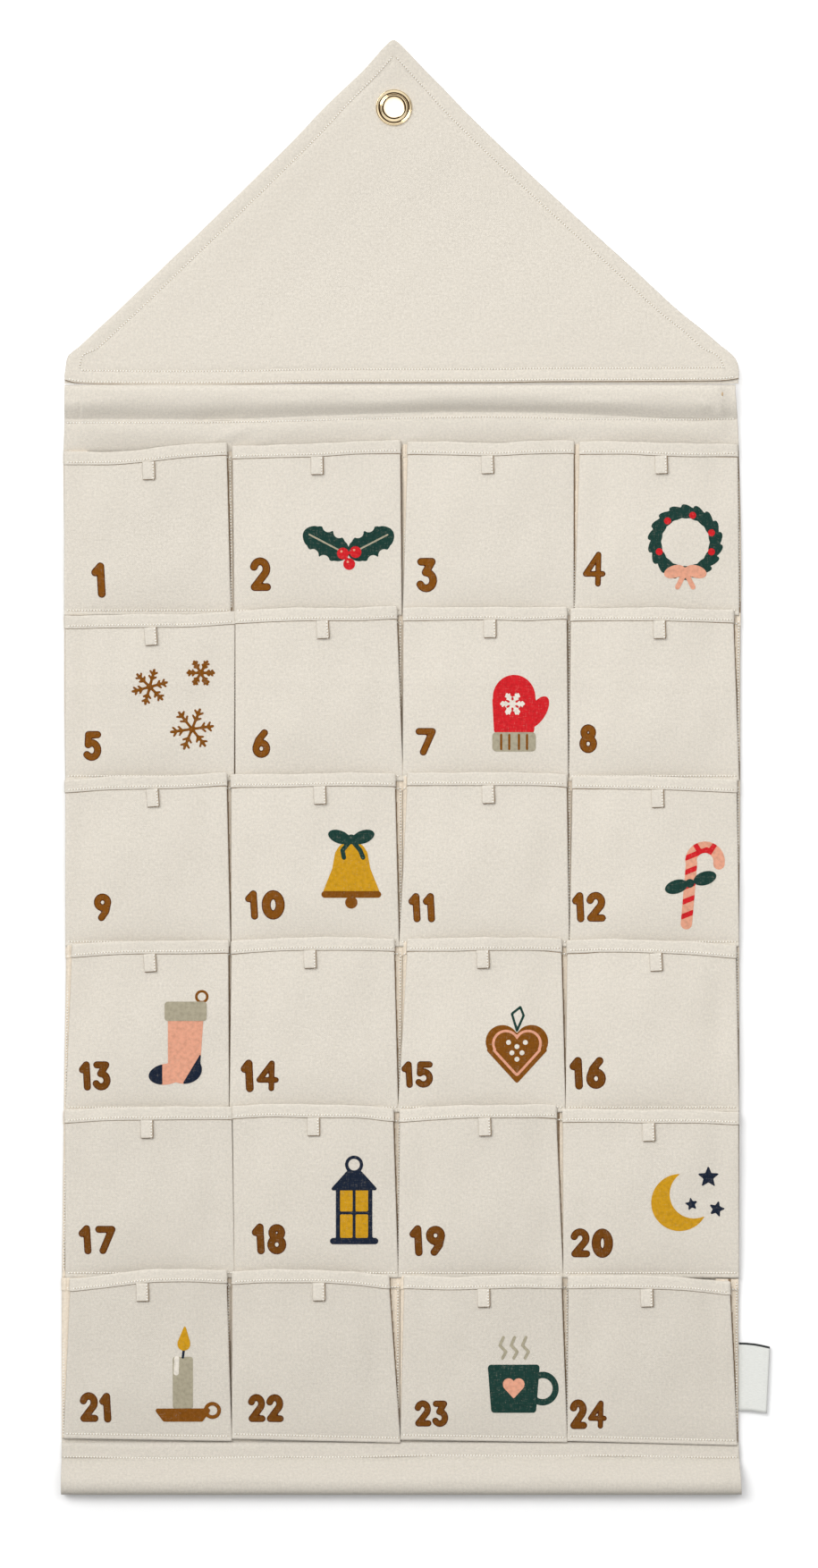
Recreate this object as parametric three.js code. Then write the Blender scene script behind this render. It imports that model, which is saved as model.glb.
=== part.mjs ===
// Wall-hung cloth advent calendar: a house-shaped canvas hanging with twenty-four pleated pockets.
// Millimetres, +Z up, the front faces -Y and the wall is the plane y = 0.
// The origin lies on the wall, behind the centre of the hanging eyelet.
import * as THREE from 'three';

// Steps in each curved stretch of an outline, and sides of what is turned
const arcSteps = 6;
const turnedSides = 28;

// Cloth and fits
const cloth = 1;
const clearance = 0.3;

// Grid of pockets
const columns = 4;
const rows = 6;
const pocketPitch = 120;
const bodyShift = 5.6;

// Roof, measured from the eyelet's centre
const apexHeight = 48;
const apexRound = 5;
const roofDrop = 195.7;
const roofSideHeight = 18;
const leftCornerRound = 5;
const rightCornerRound = 16;
const roofSeamHeight = 7.4;
const mostRoundShare = 0.9;

// Hanging eyelet
const eyeletHole = 14;
const eyeletFlange = 25.7;
const eyeletWall = 0.8;
const eyeletDome = 1.9;
const curlWidth = 1.5;
const curlThickness = 0.6;
const washerThickness = 0.8;
const wallGap = 0.4;

// Rods and their casings
const rodDiameter = 12;
const rodFit = 0.35;
const rodInset = 11;
const topRodDrop = 9;
const topStitchDrop = 28;
const casingMargin = 2;
const bottomStitchGap = 9.5;
const bottomCasingHeight = 26.8;

// Where a casing's front leaves the rod and where it comes back to the panel, as shares of its fall
const bellyFallShare = 0.55;
const footFallShare = 0.6;

// Pockets
const plainBand = 18.5;
const pocketHeight = 116.2;
const seamAllowance = 3.5;
const rowLap = 1.6;
const mostOpening = 10;
const mouthDepth = 11;
const pleatDepth = 16;
const hemHeight = 8.5;
const hemStep = 0.5;
const seamGap = 0.7;

// Pull tabs
const tabWidth = 9.1;
const tabLength = 12.8;
const tabThickness = 1.2;
const tabRound = 1.4;

// Side label
const labelWidth = 21.5;
const labelHeight = 50;
const labelThickness = 1.2;
const labelRound = 1;
const labelRise = 71.4;

// Where each pocket's front edges stand inside its seams, as shares of the pocket pitch:
// left at the mouth, left at the seam, right at the mouth, right at the seam.
const frontInsetShares = [
  [0.006, 0.006, 0.037, 0.008],
  [0.006, 0.021, 0.011, 0.004],
  [0.042, 0.006, 0.004, 0.004],
  [0.058, 0.021, 0.016, 0.006],
  [0.016, 0.016, 0.004, 0.004],
  [0.019, 0.019, 0.032, 0.004],
  [0.016, 0.016, 0.027, 0.016],
  [0.006, 0.004, 0.042, 0.006],
  [0.016, 0.016, 0.037, 0.011],
  [0.004, 0.004, 0.042, 0.019],
  [0.042, 0.004, 0.027, 0.011],
  [0.016, 0.004, 0.021, 0.006],
  [0.058, 0.016, 0.027, 0.021],
  [0.006, 0.004, 0.048, 0.024],
  [0.042, 0.004, 0.058, 0.032],
  [0.004, 0.004, 0.027, 0.006],
  [0.016, 0.016, 0.006, 0.004],
  [0.006, 0.017, 0.053, 0.024],
  [0.004, 0.004, 0.088, 0.046],
  [0.004, 0.004, 0.006, 0.006],
  [0.048, 0.006, 0.037, 0.006],
  [0.006, 0.006, 0.08, 0.01],
  [0.021, 0.004, 0.058, 0.021],
  [0.004, 0.004, 0.064, 0.016],
];

// How far each pull tab hangs right of its pocket's middle, as shares of the pocket pitch
const tabPlaceShares = [
  0.008, 0.005, 0.011, 0.034,
  0.019, 0.037, 0.026, 0.024,
  0.029, 0.021, 0.016, 0.013,
  0.013, -0.037, -0.016, 0.003,
  -0.003, -0.016, -0.005, -0.04,
  -0.029, 0.016, -0.011, -0.051,
];

// Depth of a pocket's front over its height, as shares of the pocket height and the mouth depth
const bellyShares = [
  [0.075, 0.52],
  [0.2, 0.72],
  [0.6, 0.88],
];
const seamDepthShare = 0.42;
const hemDepthShare = 0.94;

// Levels and places that follow from the sizes above
const bodyWidth = columns * pocketPitch;
const bodyLeft = bodyShift - bodyWidth / 2;
const bodyRight = bodyShift + bodyWidth / 2;
const panelFront = -cloth;
const overPanel = panelFront - clearance;
const rodRadius = rodDiameter / 2;
const boreRadius = rodRadius + rodFit;
const casingRadius = boreRadius + cloth;
const rodY = -cloth - boreRadius;
const roofEdge = -roofDrop;
const topRodZ = roofEdge - topRodDrop;
const topStitchZ = roofEdge - topStitchDrop;
const hemmedHeight = pocketHeight + seamAllowance;
const rowPitch = hemmedHeight - rowLap;
const firstSeamDrop = roofDrop + topStitchDrop + plainBand + pocketHeight;
const hemFoot = hemmedHeight - hemHeight;
const hemDepth = mouthDepth * hemDepthShare;
const seamDepth = mouthDepth * seamDepthShare;
const seamSwing = (seamDepth + overPanel) * Math.sin(THREE.MathUtils.degToRad(mostOpening));
const mouthSlope = (rowLap + seamSwing + clearance) / (mouthDepth + cloth - seamDepth);
const lowestSeamZ = -firstSeamDrop - (rows - 1) * rowPitch;
const lowestEdgeZ = lowestSeamZ - seamAllowance;
const bottomStitchZ = lowestEdgeZ - bottomStitchGap;
const bottomRodZ = bottomStitchZ - bottomCasingHeight + casingRadius;
const seamTopZ = roofEdge + roofSeamHeight;

// Layers at the eyelet, from the wall forward
const curlFront = -wallGap - curlThickness;
const washerBack = curlFront - clearance;
const liningBack = washerBack - washerThickness - clearance;
const frontSheetBack = liningBack - cloth - clearance;
const flangeBack = frontSheetBack - cloth - clearance;
const seamFront = rodY - cloth;
const roofLean = Math.asin((frontSheetBack - seamFront + clearance) / -seamTopZ);

// Finishes
const canvas = { color: 0xe6dfd2, roughness: 0.95, metalness: 0 };
const tape = { color: 0xebe5d9, roughness: 0.9, metalness: 0 };
const brass = { color: 0xc99a4b, roughness: 0.25, metalness: 1 };
const wood = { color: 0xcfae80, roughness: 0.7, metalness: 0 };
const labelCloth = { color: 0xe9ece2, roughness: 0.8, metalness: 0 };

function piece(name, geometry, finish) {
  const mesh = new THREE.Mesh(geometry, new THREE.MeshStandardMaterial(finish));
  mesh.name = name;
  return mesh;
}

// Stands an outline drawn in x and z upright and gives it a thickness towards the front
function standing(outline, thickness, curveSegments) {
  const options = { depth: thickness, bevelEnabled: false, curveSegments };
  const geometry = new THREE.ExtrudeGeometry(outline, options);
  return geometry.rotateX(Math.PI / 2);
}

// Runs an outline drawn in y and z along x
function alongX(outline, length, curveSegments) {
  const options = { depth: length, bevelEnabled: false, curveSegments };
  const geometry = new THREE.ExtrudeGeometry(outline, options);
  const turned = new THREE.Matrix4().makeBasis(
    new THREE.Vector3(0, 1, 0),
    new THREE.Vector3(0, 0, 1),
    new THREE.Vector3(1, 0, 0),
  );
  return geometry.applyMatrix4(turned);
}

// An outline through corners, each given as x, z and the length that its round takes off each side
function roundedOutline(corners) {
  const outline = new THREE.Shape();
  corners.forEach(([x, z, round], i) => {
    const before = corners[(i + corners.length - 1) % corners.length];
    const after = corners[(i + 1) % corners.length];
    const corner = new THREE.Vector2(x, z);
    const start = towards(corner, before, round);
    const end = towards(corner, after, round);
    if (i === 0) outline.moveTo(start.x, start.y);
    else outline.lineTo(start.x, start.y);
    if (round > 0) outline.quadraticCurveTo(x, z, end.x, end.y);
  });
  outline.closePath();
  return outline;
}

function towards(corner, [x, z], distance) {
  const way = new THREE.Vector2(x, z).sub(corner).normalize();
  return corner.clone().addScaledVector(way, distance);
}

// Skins a stack of rings, lowest first, each running anticlockwise as seen from above
function loft(rings) {
  const size = rings[0].length;
  const flat = rings[0].map((p) => new THREE.Vector2(p.x, p.y));
  const top = rings[rings.length - 1];
  const topFlat = top.map((p) => new THREE.Vector2(p.x, p.y));
  const index = [];
  for (let r = 0; r + 1 < rings.length; r += 1) {
    for (let i = 0; i < size; i += 1) {
      const a = r * size + i;
      const b = r * size + ((i + 1) % size);
      index.push(a, b, b + size, a, b + size, a + size);
    }
  }
  index.push(...capIndex(flat, 0, false));
  index.push(...capIndex(topFlat, (rings.length - 1) * size, true));
  const geometry = new THREE.BufferGeometry().setFromPoints(rings.flat());
  geometry.setIndex(index);
  geometry.computeVertexNormals();
  return geometry;
}

function capIndex(outline, first, facesUp) {
  return THREE.ShapeUtils.triangulateShape(outline, []).flatMap(([a, b, c]) => {
    const corners = [outline[a], outline[b], outline[c]];
    const isUp = !THREE.ShapeUtils.isClockWise(corners);
    const turned = isUp === facesUp ? [a, b, c] : [a, c, b];
    return turned.map((i) => first + i);
  });
}

// Roof: a double triangle of canvas with short upright ends
function roofCorners(foot) {
  const shoulder = roofEdge + roofSideHeight;
  const mostRound = (shoulder - foot) * mostRoundShare;
  return [
    [bodyLeft, foot, 0],
    [bodyRight, foot, 0],
    [bodyRight, shoulder, Math.min(rightCornerRound, mostRound)],
    [0, apexHeight, apexRound],
    [bodyLeft, shoulder, Math.min(leftCornerRound, mostRound)],
  ];
}

function roofSheet(name, foot, back) {
  const outline = roundedOutline(roofCorners(foot));
  const hole = new THREE.Path();
  hole.absarc(0, 0, eyeletHole / 2 + eyeletWall + clearance, 0, Math.PI * 2, true);
  outline.holes.push(hole);
  const mesh = piece(name, standing(outline, cloth, arcSteps), canvas);
  mesh.position.y = back;
  return mesh;
}

function eyelet() {
  const hole = eyeletHole / 2;
  const barrel = hole + eyeletWall;
  const flange = eyeletFlange / 2;
  const face = flangeBack - eyeletDome;
  const profile = [
    [hole, -wallGap],
    [hole, face + eyeletWall],
    [barrel, face],
    [flange - eyeletWall * 2, face],
    [flange - eyeletWall / 2, face + eyeletWall],
    [flange, flangeBack - eyeletWall / 2],
    [flange - eyeletWall / 2, flangeBack],
    [barrel, flangeBack],
    [barrel, curlFront],
    [barrel + curlWidth, curlFront],
    [barrel + curlWidth, -wallGap],
    [hole, -wallGap],
  ];
  const points = profile.map(([r, y]) => new THREE.Vector2(r, y));
  return piece('eyelet', new THREE.LatheGeometry(points, turnedSides), brass);
}

function eyeletWasher() {
  const inner = eyeletHole / 2 + eyeletWall + clearance;
  const outer = eyeletFlange / 2;
  const front = washerBack - washerThickness;
  const profile = [
    [inner, washerBack],
    [inner, front],
    [outer, front],
    [outer, washerBack],
    [inner, washerBack],
  ];
  const points = profile.map(([r, y]) => new THREE.Vector2(r, y));
  return piece('eyelet_washer', new THREE.LatheGeometry(points, turnedSides), brass);
}

function roof() {
  const group = new THREE.Group();
  group.rotation.x = -roofLean;
  group.add(
    roofSheet('roof_front', roofEdge, frontSheetBack),
    roofSheet('roof_lining', seamTopZ + clearance, liningBack),
    eyelet(),
    eyeletWasher(),
  );
  return group;
}

// A rod casing in section, drawn about the rod's axis. The cloth wraps the rod, closes at a stitch
// and runs on over the panel as a skirt. Up is 1 where the stitch lies over the rod and -1 where it
// lies under it, and a seam allowance may stand on the far side.
function casingOutline(up, stitch, skirt, seam) {
  const skirtFront = overPanel - cloth;
  const outline = new THREE.Shape();
  const seamAngle = Math.acos(cloth / casingRadius);
  outline.moveTo(overPanel, up * stitch);
  outline.lineTo(0, up * stitch);
  if (seam > 0) {
    outline.absarc(rodY, 0, casingRadius, 0, seamAngle, false);
    outline.lineTo(rodY + cloth, seam);
    outline.lineTo(rodY - cloth, seam);
    outline.absarc(rodY, 0, casingRadius, Math.PI - seamAngle, Math.PI, false);
  } else {
    outline.absarc(rodY, 0, casingRadius, 0, -Math.PI, true);
  }
  const belly = rodY - casingRadius;
  outline.bezierCurveTo(
    belly, up * stitch * bellyFallShare, skirtFront, up * stitch * footFallShare, skirtFront, up * stitch,
  );
  outline.lineTo(skirtFront, up * skirt);
  outline.lineTo(overPanel, up * skirt);
  outline.closePath();
  const section = new THREE.Shape(anticlockwise(outline.getPoints(arcSteps)));
  section.holes.push(tunnel(up, stitch - casingMargin));
  return section;
}

function anticlockwise(points) {
  return THREE.ShapeUtils.isClockWise(points) ? points.reverse() : points;
}

function tunnel(up, foot) {
  const belly = rodY - boreRadius;
  const path = new THREE.Path();
  path.moveTo(overPanel, up * foot);
  path.lineTo(-cloth, up * foot);
  path.absarc(rodY, 0, boreRadius, 0, -up * Math.PI, up > 0);
  path.bezierCurveTo(
    belly, up * foot * bellyFallShare, overPanel, up * foot * footFallShare, overPanel, up * foot,
  );
  path.closePath();
  return path;
}

function casing(name, outline, rodZ) {
  const mesh = piece(name, alongX(outline, bodyWidth, arcSteps), canvas);
  mesh.position.set(bodyLeft, 0, rodZ);
  return mesh;
}

function rod(name, z) {
  const length = bodyWidth - rodInset * 2;
  const geometry = new THREE.CylinderGeometry(rodRadius, rodRadius, length, turnedSides);
  const mesh = piece(name, geometry.rotateZ(Math.PI / 2), wood);
  mesh.position.set(bodyShift, rodY, z);
  return mesh;
}

function backPanel() {
  const top = topStitchZ - clearance;
  const bottom = bottomStitchZ + clearance;
  const outline = roundedOutline([
    [bodyLeft, bottom, 0],
    [bodyRight, bottom, 0],
    [bodyRight, top, 0],
    [bodyLeft, top, 0],
  ]);
  return piece('back_panel', standing(outline, cloth, 1), canvas);
}

function sideLabel() {
  const outline = roundedOutline([
    [0, -labelHeight, 0],
    [labelWidth, -labelHeight, labelRound],
    [labelWidth, 0, labelRound],
    [0, 0, 0],
  ]);
  const mesh = piece('side_label', standing(outline, labelThickness, 2), labelCloth);
  mesh.position.set(bodyRight + clearance, overPanel, lowestEdgeZ + labelRise);
  return mesh;
}

// Distance of a front edge from the pocket's middle at a height share
function frontEdge(insetAtMouth, insetAtSeam, share) {
  const inset = THREE.MathUtils.lerp(insetAtSeam, insetAtMouth, share);
  return pocketPitch / 2 - inset * pocketPitch;
}

// One level of a pocket: at each side a pleat runs in along the panel and back out to the front edge.
// A closed level is the bottom seam, where every layer is sewn down.
function pocketRing(insets, height, depth, hem, isClosed) {
  const [leftMouth, leftSeam, rightMouth, rightSeam] = insets;
  const share = height / hemmedHeight;
  const left = -frontEdge(leftMouth, leftSeam, share);
  const right = frontEdge(rightMouth, rightSeam, share);
  const seam = pocketPitch / 2 - seamGap / 2;
  const fold = pocketPitch / 2 - pleatDepth;
  const layer = overPanel - cloth;
  const innerFace = isClosed ? overPanel : cloth - depth;
  const foldFace = isClosed ? overPanel : layer - cloth;
  const innerLeft = isClosed ? cloth * 2 - fold : left + cloth;
  const innerRight = isClosed ? fold - cloth * 2 : right - cloth;
  const foldInside = isClosed ? fold - cloth : fold;
  const outside = hem - depth;
  const section = [
    [-seam, layer],
    [-fold - cloth, layer],
    [left, cloth - depth],
    [left, outside],
    [right, outside],
    [right, cloth - depth],
    [fold + cloth, layer],
    [seam, layer],
    [seam, overPanel],
    [fold, overPanel],
    [foldInside, foldFace],
    [innerRight, innerFace],
    [innerLeft, innerFace],
    [-foldInside, foldFace],
    [-fold, overPanel],
    [-seam, overPanel],
  ];
  return section.map(([x, y]) => new THREE.Vector3(x, y, height));
}

// The mouth leans up towards the front, so it laps over the seam of the pocket above
function mouthRing(insets) {
  const ring = pocketRing(insets, hemmedHeight, mouthDepth, -cloth, false);
  ring.forEach((p) => {
    p.z -= mouthSlope * (mouthDepth + cloth + p.y);
  });
  return ring;
}

function pocket(number, insets) {
  const depthAt = (share) => mouthDepth * share;
  const rings = [
    pocketRing(insets, 0, seamDepth, 0, true),
    pocketRing(insets, seamAllowance, seamDepth, 0, true),
    ...bellyShares.map(([heightShare, depthShare]) =>
      pocketRing(insets, hemmedHeight * heightShare, depthAt(depthShare), 0, false)),
    pocketRing(insets, hemFoot, hemDepth, 0, false),
    pocketRing(insets, hemFoot + hemStep, hemDepth, -cloth, false),
    mouthRing(insets),
  ];
  return piece(`pocket_${number}`, loft(rings), canvas);
}

function pullTab(number) {
  const outline = roundedOutline([
    [-tabWidth / 2, -tabLength, tabRound],
    [tabWidth / 2, -tabLength, tabRound],
    [tabWidth / 2, 0, 0],
    [-tabWidth / 2, 0, 0],
  ]);
  return piece(`pocket_tab_${number}`, standing(outline, tabThickness, 2), tape);
}

function pockets() {
  const group = new THREE.Group();
  for (let i = 0; i < columns * rows; i += 1) {
    const number = String(i + 1).padStart(2, '0');
    const column = i % columns;
    const row = Math.floor(i / columns);
    const place = new THREE.Group();
    place.position.x = bodyLeft + (column + 0.5) * pocketPitch;
    place.position.z = -firstSeamDrop - seamAllowance - row * rowPitch;
    const tab = pullTab(number);
    tab.position.x = tabPlaceShares[i] * pocketPitch;
    tab.position.y = -hemDepth - clearance;
    tab.position.z = hemFoot - clearance;
    place.add(pocket(number, frontInsetShares[i]), tab);
    group.add(place);
  }
  return group;
}

const calendar = new THREE.Group();
const topSkirt = topRodZ + firstSeamDrop - pocketHeight - clearance;
const bottomSkirt = lowestEdgeZ - clearance - bottomRodZ;
calendar.add(
  roof(),
  backPanel(),
  casing('top_casing', casingOutline(-1, topRodZ - topStitchZ, topSkirt, seamTopZ - topRodZ), topRodZ),
  casing('bottom_casing', casingOutline(1, bottomStitchZ - bottomRodZ, bottomSkirt, 0), bottomRodZ),
  rod('top_rod', topRodZ),
  rod('bottom_rod', bottomRodZ),
  sideLabel(),
  pockets(),
);

export default calendar;
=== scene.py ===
"""Dresses the wall-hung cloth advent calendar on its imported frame: canvas, thread, prints, brass and wood."""
import math

import bpy
import numpy as np
from bpy.props import FloatProperty, FloatVectorProperty, PointerProperty
from mathutils import Matrix, Vector
from mathutils.bvhtree import BVHTree


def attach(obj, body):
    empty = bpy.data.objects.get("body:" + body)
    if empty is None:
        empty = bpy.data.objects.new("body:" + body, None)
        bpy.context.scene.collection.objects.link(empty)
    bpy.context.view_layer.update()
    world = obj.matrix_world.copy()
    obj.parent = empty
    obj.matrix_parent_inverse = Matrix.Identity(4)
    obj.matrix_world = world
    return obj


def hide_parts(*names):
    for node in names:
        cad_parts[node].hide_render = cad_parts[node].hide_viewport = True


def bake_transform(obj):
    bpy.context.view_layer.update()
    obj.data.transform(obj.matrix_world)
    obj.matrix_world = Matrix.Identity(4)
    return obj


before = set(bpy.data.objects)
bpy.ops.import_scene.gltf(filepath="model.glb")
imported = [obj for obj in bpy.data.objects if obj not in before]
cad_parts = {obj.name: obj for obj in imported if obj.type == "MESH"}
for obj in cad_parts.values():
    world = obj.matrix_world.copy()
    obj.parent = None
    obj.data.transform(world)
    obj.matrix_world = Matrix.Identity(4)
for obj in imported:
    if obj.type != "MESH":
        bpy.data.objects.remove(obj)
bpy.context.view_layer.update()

bl_info = {
    "name": "Cloth advent calendar",
    "version": (1, 0, 0),
    "blender": (4, 5, 0),
    "location": "3D View > Sidebar > Calendar",
    "description": "Canvas, stitching, prints, brass and wood of a wall-hung advent calendar",
    "category": "Object",
}

# Tables below are in millimetres, like the functions that shape the cloth. Meshes are made in metres.
MM = 0.001
# The photograph's scale, and the pixel that shows the eyelet's centre
PIXEL = 0.638
ORIGIN_PIXEL = (440.7, 121.3)
PICTURE = (915, 1754)

COLUMNS = 4
ROWS = 6
PITCH = 120.0
ROW_PITCH = 118.1
BODY_LEFT = -234.4
BODY_RIGHT = 245.6
FIRST_EDGE = -361.9
HEM_FOOT = 111.2
MOUTH = 119.7
# Where the painted shadow under a hem's edge starts: from here to the edge the front takes the dark canvas
HEM_SHADOW = 110.45
SEAM = 3.5
PLEAT_FOLD = 44.0
TOP_ROD_Z = -204.7
BOTTOM_ROD_Z = -981.35
ROD_Y = -7.35
TOP_STITCH_Z = -223.7
BOTTOM_STITCH_Z = -961.9
# The roof leans forward about the eyelet
LEANING = Matrix.Rotation(math.radians(-1.51), 3, "X")

# Places of the columns from a pocket's side seam to the fold of its pleat
BASE_SHARES = np.array([*np.arange(0, 0.5, 0.022), 0.6, 1.0])

# Pixels of each pocket's front edges: left at the mouth and the seam, right at the mouth and the seam
EDGE_PIXELS = (
    (73, 72.5, 253, 258), (261, 263, 447, 449), (457, 451, 641, 641), (649, 643, 824, 826),
    (74, 74, 262.5, 261.5), (264, 264, 443, 450.5), (452, 451, 633, 635), (639, 637, 819, 826),
    (74, 74, 253, 257.5), (259.5, 259.5, 441, 446), (457, 447, 633, 636), (641, 637.5, 823, 826),
    (82, 74, 255, 256), (260, 257.5, 440, 445), (457, 445.5, 627, 632), (635, 633, 822, 826),
    (74, 74, 259, 262), (261, 263, 439, 445), (448, 446, 621, 629.5), (630, 630.5, 825, 826),
    (80, 72, 253, 259), (261, 260, 434, 447.5), (453, 448.5, 627, 634), (636, 635, 815, 824),
)
# Pixel heights of each hem's lower edge, at five places from left to right
HEM_PIXELS = (
    (520, 520, 517, 512, 509), (513, 512, 511, 508, 507), (508, 509, 510, 508, 507),
    (508, 508, 510, 511, 510), (703, 702, 701.5, 701, 698), (697, 695, 694, 694, 692),
    (694, 693.5, 693, 694, 692), (694, 694, 694, 695, 696), (886, 883, 882, 881, 878),
    (880, 880, 879, 878.5, 879), (878, 878, 878, 878, 879), (881, 882, 882.5, 884, 886),
    (1070, 1067, 1066, 1066, 1065), (1066, 1063, 1062, 1062, 1063), (1063, 1063, 1062, 1062, 1063),
    (1065, 1064, 1065, 1067, 1071), (1255, 1252, 1251.5, 1251, 1251), (1250, 1248, 1249, 1249, 1253),
    (1254, 1251, 1249, 1249, 1249), (1254, 1254, 1255, 1255, 1257), (1443, 1438, 1433, 1432, 1434),
    (1435, 1433, 1433, 1435, 1440), (1440, 1441, 1440, 1439, 1440), (1440, 1439, 1440, 1442, 1447),
)
# How far each front stands out between its edges
CROWNS = (
    1.6, 2.2, 2.4, 2.0, 2.6, 1.8, 2.2, 1.7, 2.2, 2.5, 1.9, 2.3, 1.8, 2.3, 2.6, 1.8, 2.0, 2.4, 2.8, 2.2, 2.6,
    1.9, 2.2, 1.6,
)
# Soft vertical folds in a front: pocket, share across, height, width, length and depth
SOFT_FOLDS = (
    (5, 0.12, 84, 4.5, 46, -1.9), (5, 0.20, 86, 5.0, 40, 0.9), (9, 0.10, 82, 4.5, 50, -1.5),
    (13, 0.07, 70, 4.0, 42, -0.9), (1, 0.10, 88, 5.0, 34, -0.6), (21, 0.08, 74, 5.0, 46, -1.0),
    (3, 0.05, 60, 4.5, 60, -0.7), (8, 0.06, 86, 4.5, 36, -0.8), (16, 0.90, 66, 5.0, 50, -0.8),
    (24, 0.90, 84, 5.0, 40, -0.9), (19, 0.93, 60, 5.0, 60, -0.8), (11, 0.07, 60, 4.5, 60, -0.7),
    (22, 0.90, 84, 6.0, 44, -1.0), (15, 0.06, 62, 4.5, 56, -0.8), (20, 0.88, 70, 6.0, 50, -0.6),
)
# Numbers on the fronts, by their pixel boxes: left, right, top, bottom
NUMBER_PIXELS = (
    (102, 120, 628, 670), (280, 303, 623, 663), (466, 489, 623, 664), (651, 677, 615, 659),
    (94, 113, 817, 852), (282, 303, 815, 849), (464, 488, 813, 846), (648, 668, 809, 843),
    (105, 126, 998, 1031), (274, 319, 995, 1029), (457, 487, 998, 1032), (640, 677, 997, 1032),
    (89, 124, 1186, 1220), (270, 312, 1184, 1222), (449, 484, 1186, 1217), (637, 678, 1181, 1219),
    (88, 130, 1369, 1403), (282, 321, 1367, 1403), (458, 499, 1369, 1405), (638, 685, 1373, 1407),
    (90, 125, 1556, 1591), (278, 317, 1558, 1591), (464, 501, 1565, 1596), (638, 678, 1564, 1599),
)
# Middle of each pull tab and how far it leans, in pixels and degrees
TAB_PIXELS = (
    (167, 1.5), (355, 1), (545, 2), (739, 2), (169, 4), (361, 3), (548, 1), (737, 2), (171, 4), (358, 2),
    (546, 2), (735, 2), (168, 4), (347, 2), (540, 2), (733, 3), (165, 1), (351, 1), (542, 2), (725, 2),
    (160, 2), (357, 1), (541, 1), (723, 2),
)
# The body's sides by pixel rows: height, left, right
SIDE_PIXELS = (
    (440, 73, 822), (475, 72.5, 825), (520, 71, 827), (640, 72, 829), (760, 72, 828), (880, 73, 828),
    (1040, 74, 827), (1200, 72, 827), (1360, 70, 827), (1480, 69, 826), (1600, 69, 826), (1672, 69, 829),
)
# The lower edges of the last row's pockets, left and right
LOW_PIXELS = ((1608.5, 1611.5), (1609, 1613.5), (1610, 1613), (1611.5, 1616.5))
# The roof's lower edge, the valley under the top rod and the stitches below it: places across and heights
ROOF_EDGE = (
    (73, 426.5), (85, 429.5), (130, 431.2), (200, 431.8), (280, 431.1), (340, 429.8), (500, 429.3),
    (560, 429.2), (600, 428.4), (700, 428), (780, 427.5), (812, 426.8), (826, 424.5),
)
VALLEY = (
    (73, 468), (250, 468), (330, 465.5), (430, 462), (500, 460.5), (600, 461), (660, 463), (740, 467),
    (826, 469),
)
CASING_STITCH = (
    (73, 473.5), (200, 473.5), (330, 471.4), (400, 469.3), (480, 467.9), (550, 467.1), (605, 468),
    (640, 469.4), (700, 469.8), (760, 470.1), (826, 469),
)
# The roof's silhouette by pixel rows: height, left, right
ROOF_PIXELS = (
    (46.2, 438.5, 441.5), (47.5, 436.5, 444), (50, 433.5, 447), (55, 428.5, 452), (60, 424, 457),
    (80, 406, 476), (100, 385, 496), (120, 364, 515), (150, 336, 545), (200, 286, 597), (250, 235, 651),
    (300, 183, 706), (350, 131, 760), (375, 104, 791), (388, 90, 805), (394, 82.5, 812.5),
    (399, 77.5, 817.5), (404, 75.5, 821.5), (410, 74.5, 824), (417, 73.8, 825.5), (424, 73, 826),
    (429.3, 73, 825.5),
)


def pixel_x(x):
    return (x - ORIGIN_PIXEL[0]) * PIXEL


def pixel_z(y):
    return (ORIGIN_PIXEL[1] - y) * PIXEL


def bell(x):
    """A smooth bump, 1 at zero."""
    return np.exp(-0.5 * np.square(x))


def ripples(x, z, waves, phase=0.0):
    """Soft waves, each by its amount, its pace across and up, its start and its share of the phase."""
    total = 0
    for amount, across, up, start, share in waves:
        total = total + amount * np.sin(x * across + z * up + start + share * phase)
    return total


def smooth(x, low, high):
    """Rises smoothly from 0 at low to 1 at high."""
    t = np.clip((np.asarray(x, float) - low) / (high - low), 0, 1)
    return t * t * (3 - 2 * t)


def curve(x, places, values):
    """A smooth curve through the given places, without overshoot at its ends."""
    places, values = np.asarray(places, float), np.asarray(values, float)
    steps = np.diff(values) / np.diff(places)
    slopes = np.concatenate([steps[:1], (steps[1:] + steps[:-1]) / 2, steps[-1:]])
    turns = np.concatenate([[False], steps[1:] * steps[:-1] <= 0, [False]])
    slopes[turns] = 0
    x = np.clip(np.asarray(x, float), places[0], places[-1])
    k = np.clip(np.searchsorted(places, x, side="right") - 1, 0, len(places) - 2)
    width = places[k + 1] - places[k]
    t = (x - places[k]) / width
    rise = values[k + 1] - values[k]
    ease = t * t * (3 - 2 * t)
    return values[k] + rise * ease + width * (
        slopes[k] * t * (1 - t) ** 2 - slopes[k + 1] * t * t * (1 - t)
    )


def traced(x, places):
    """Height in millimetres of a line given by its pixels."""
    across, rows = np.transpose(places)
    return curve(x, pixel_x(across), pixel_z(rows))


def sides_at(z, places):
    """Left and right side at a height, given by pixel rows."""
    rows, left, right = np.transpose(places)[:, ::-1]
    return curve(z, pixel_z(rows), pixel_x(left)), curve(z, pixel_z(rows), pixel_x(right))


def side_shift(x, z):
    """How far the cloth stands to the right of its level place, by the body's wandering sides."""
    left, right = sides_at(z, SIDE_PIXELS)
    left, right = left - BODY_LEFT, right - BODY_RIGHT
    return left + (right - left) * (x - BODY_LEFT) / (BODY_RIGHT - BODY_LEFT)


def lengths_along(points):
    """Distance from the first point to each, along their line."""
    steps = np.linalg.norm(np.diff(np.asarray(points, float), axis=0), axis=1)
    return np.concatenate([[0], np.cumsum(steps)])


def millimetres(metres):
    return metres / MM


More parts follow.
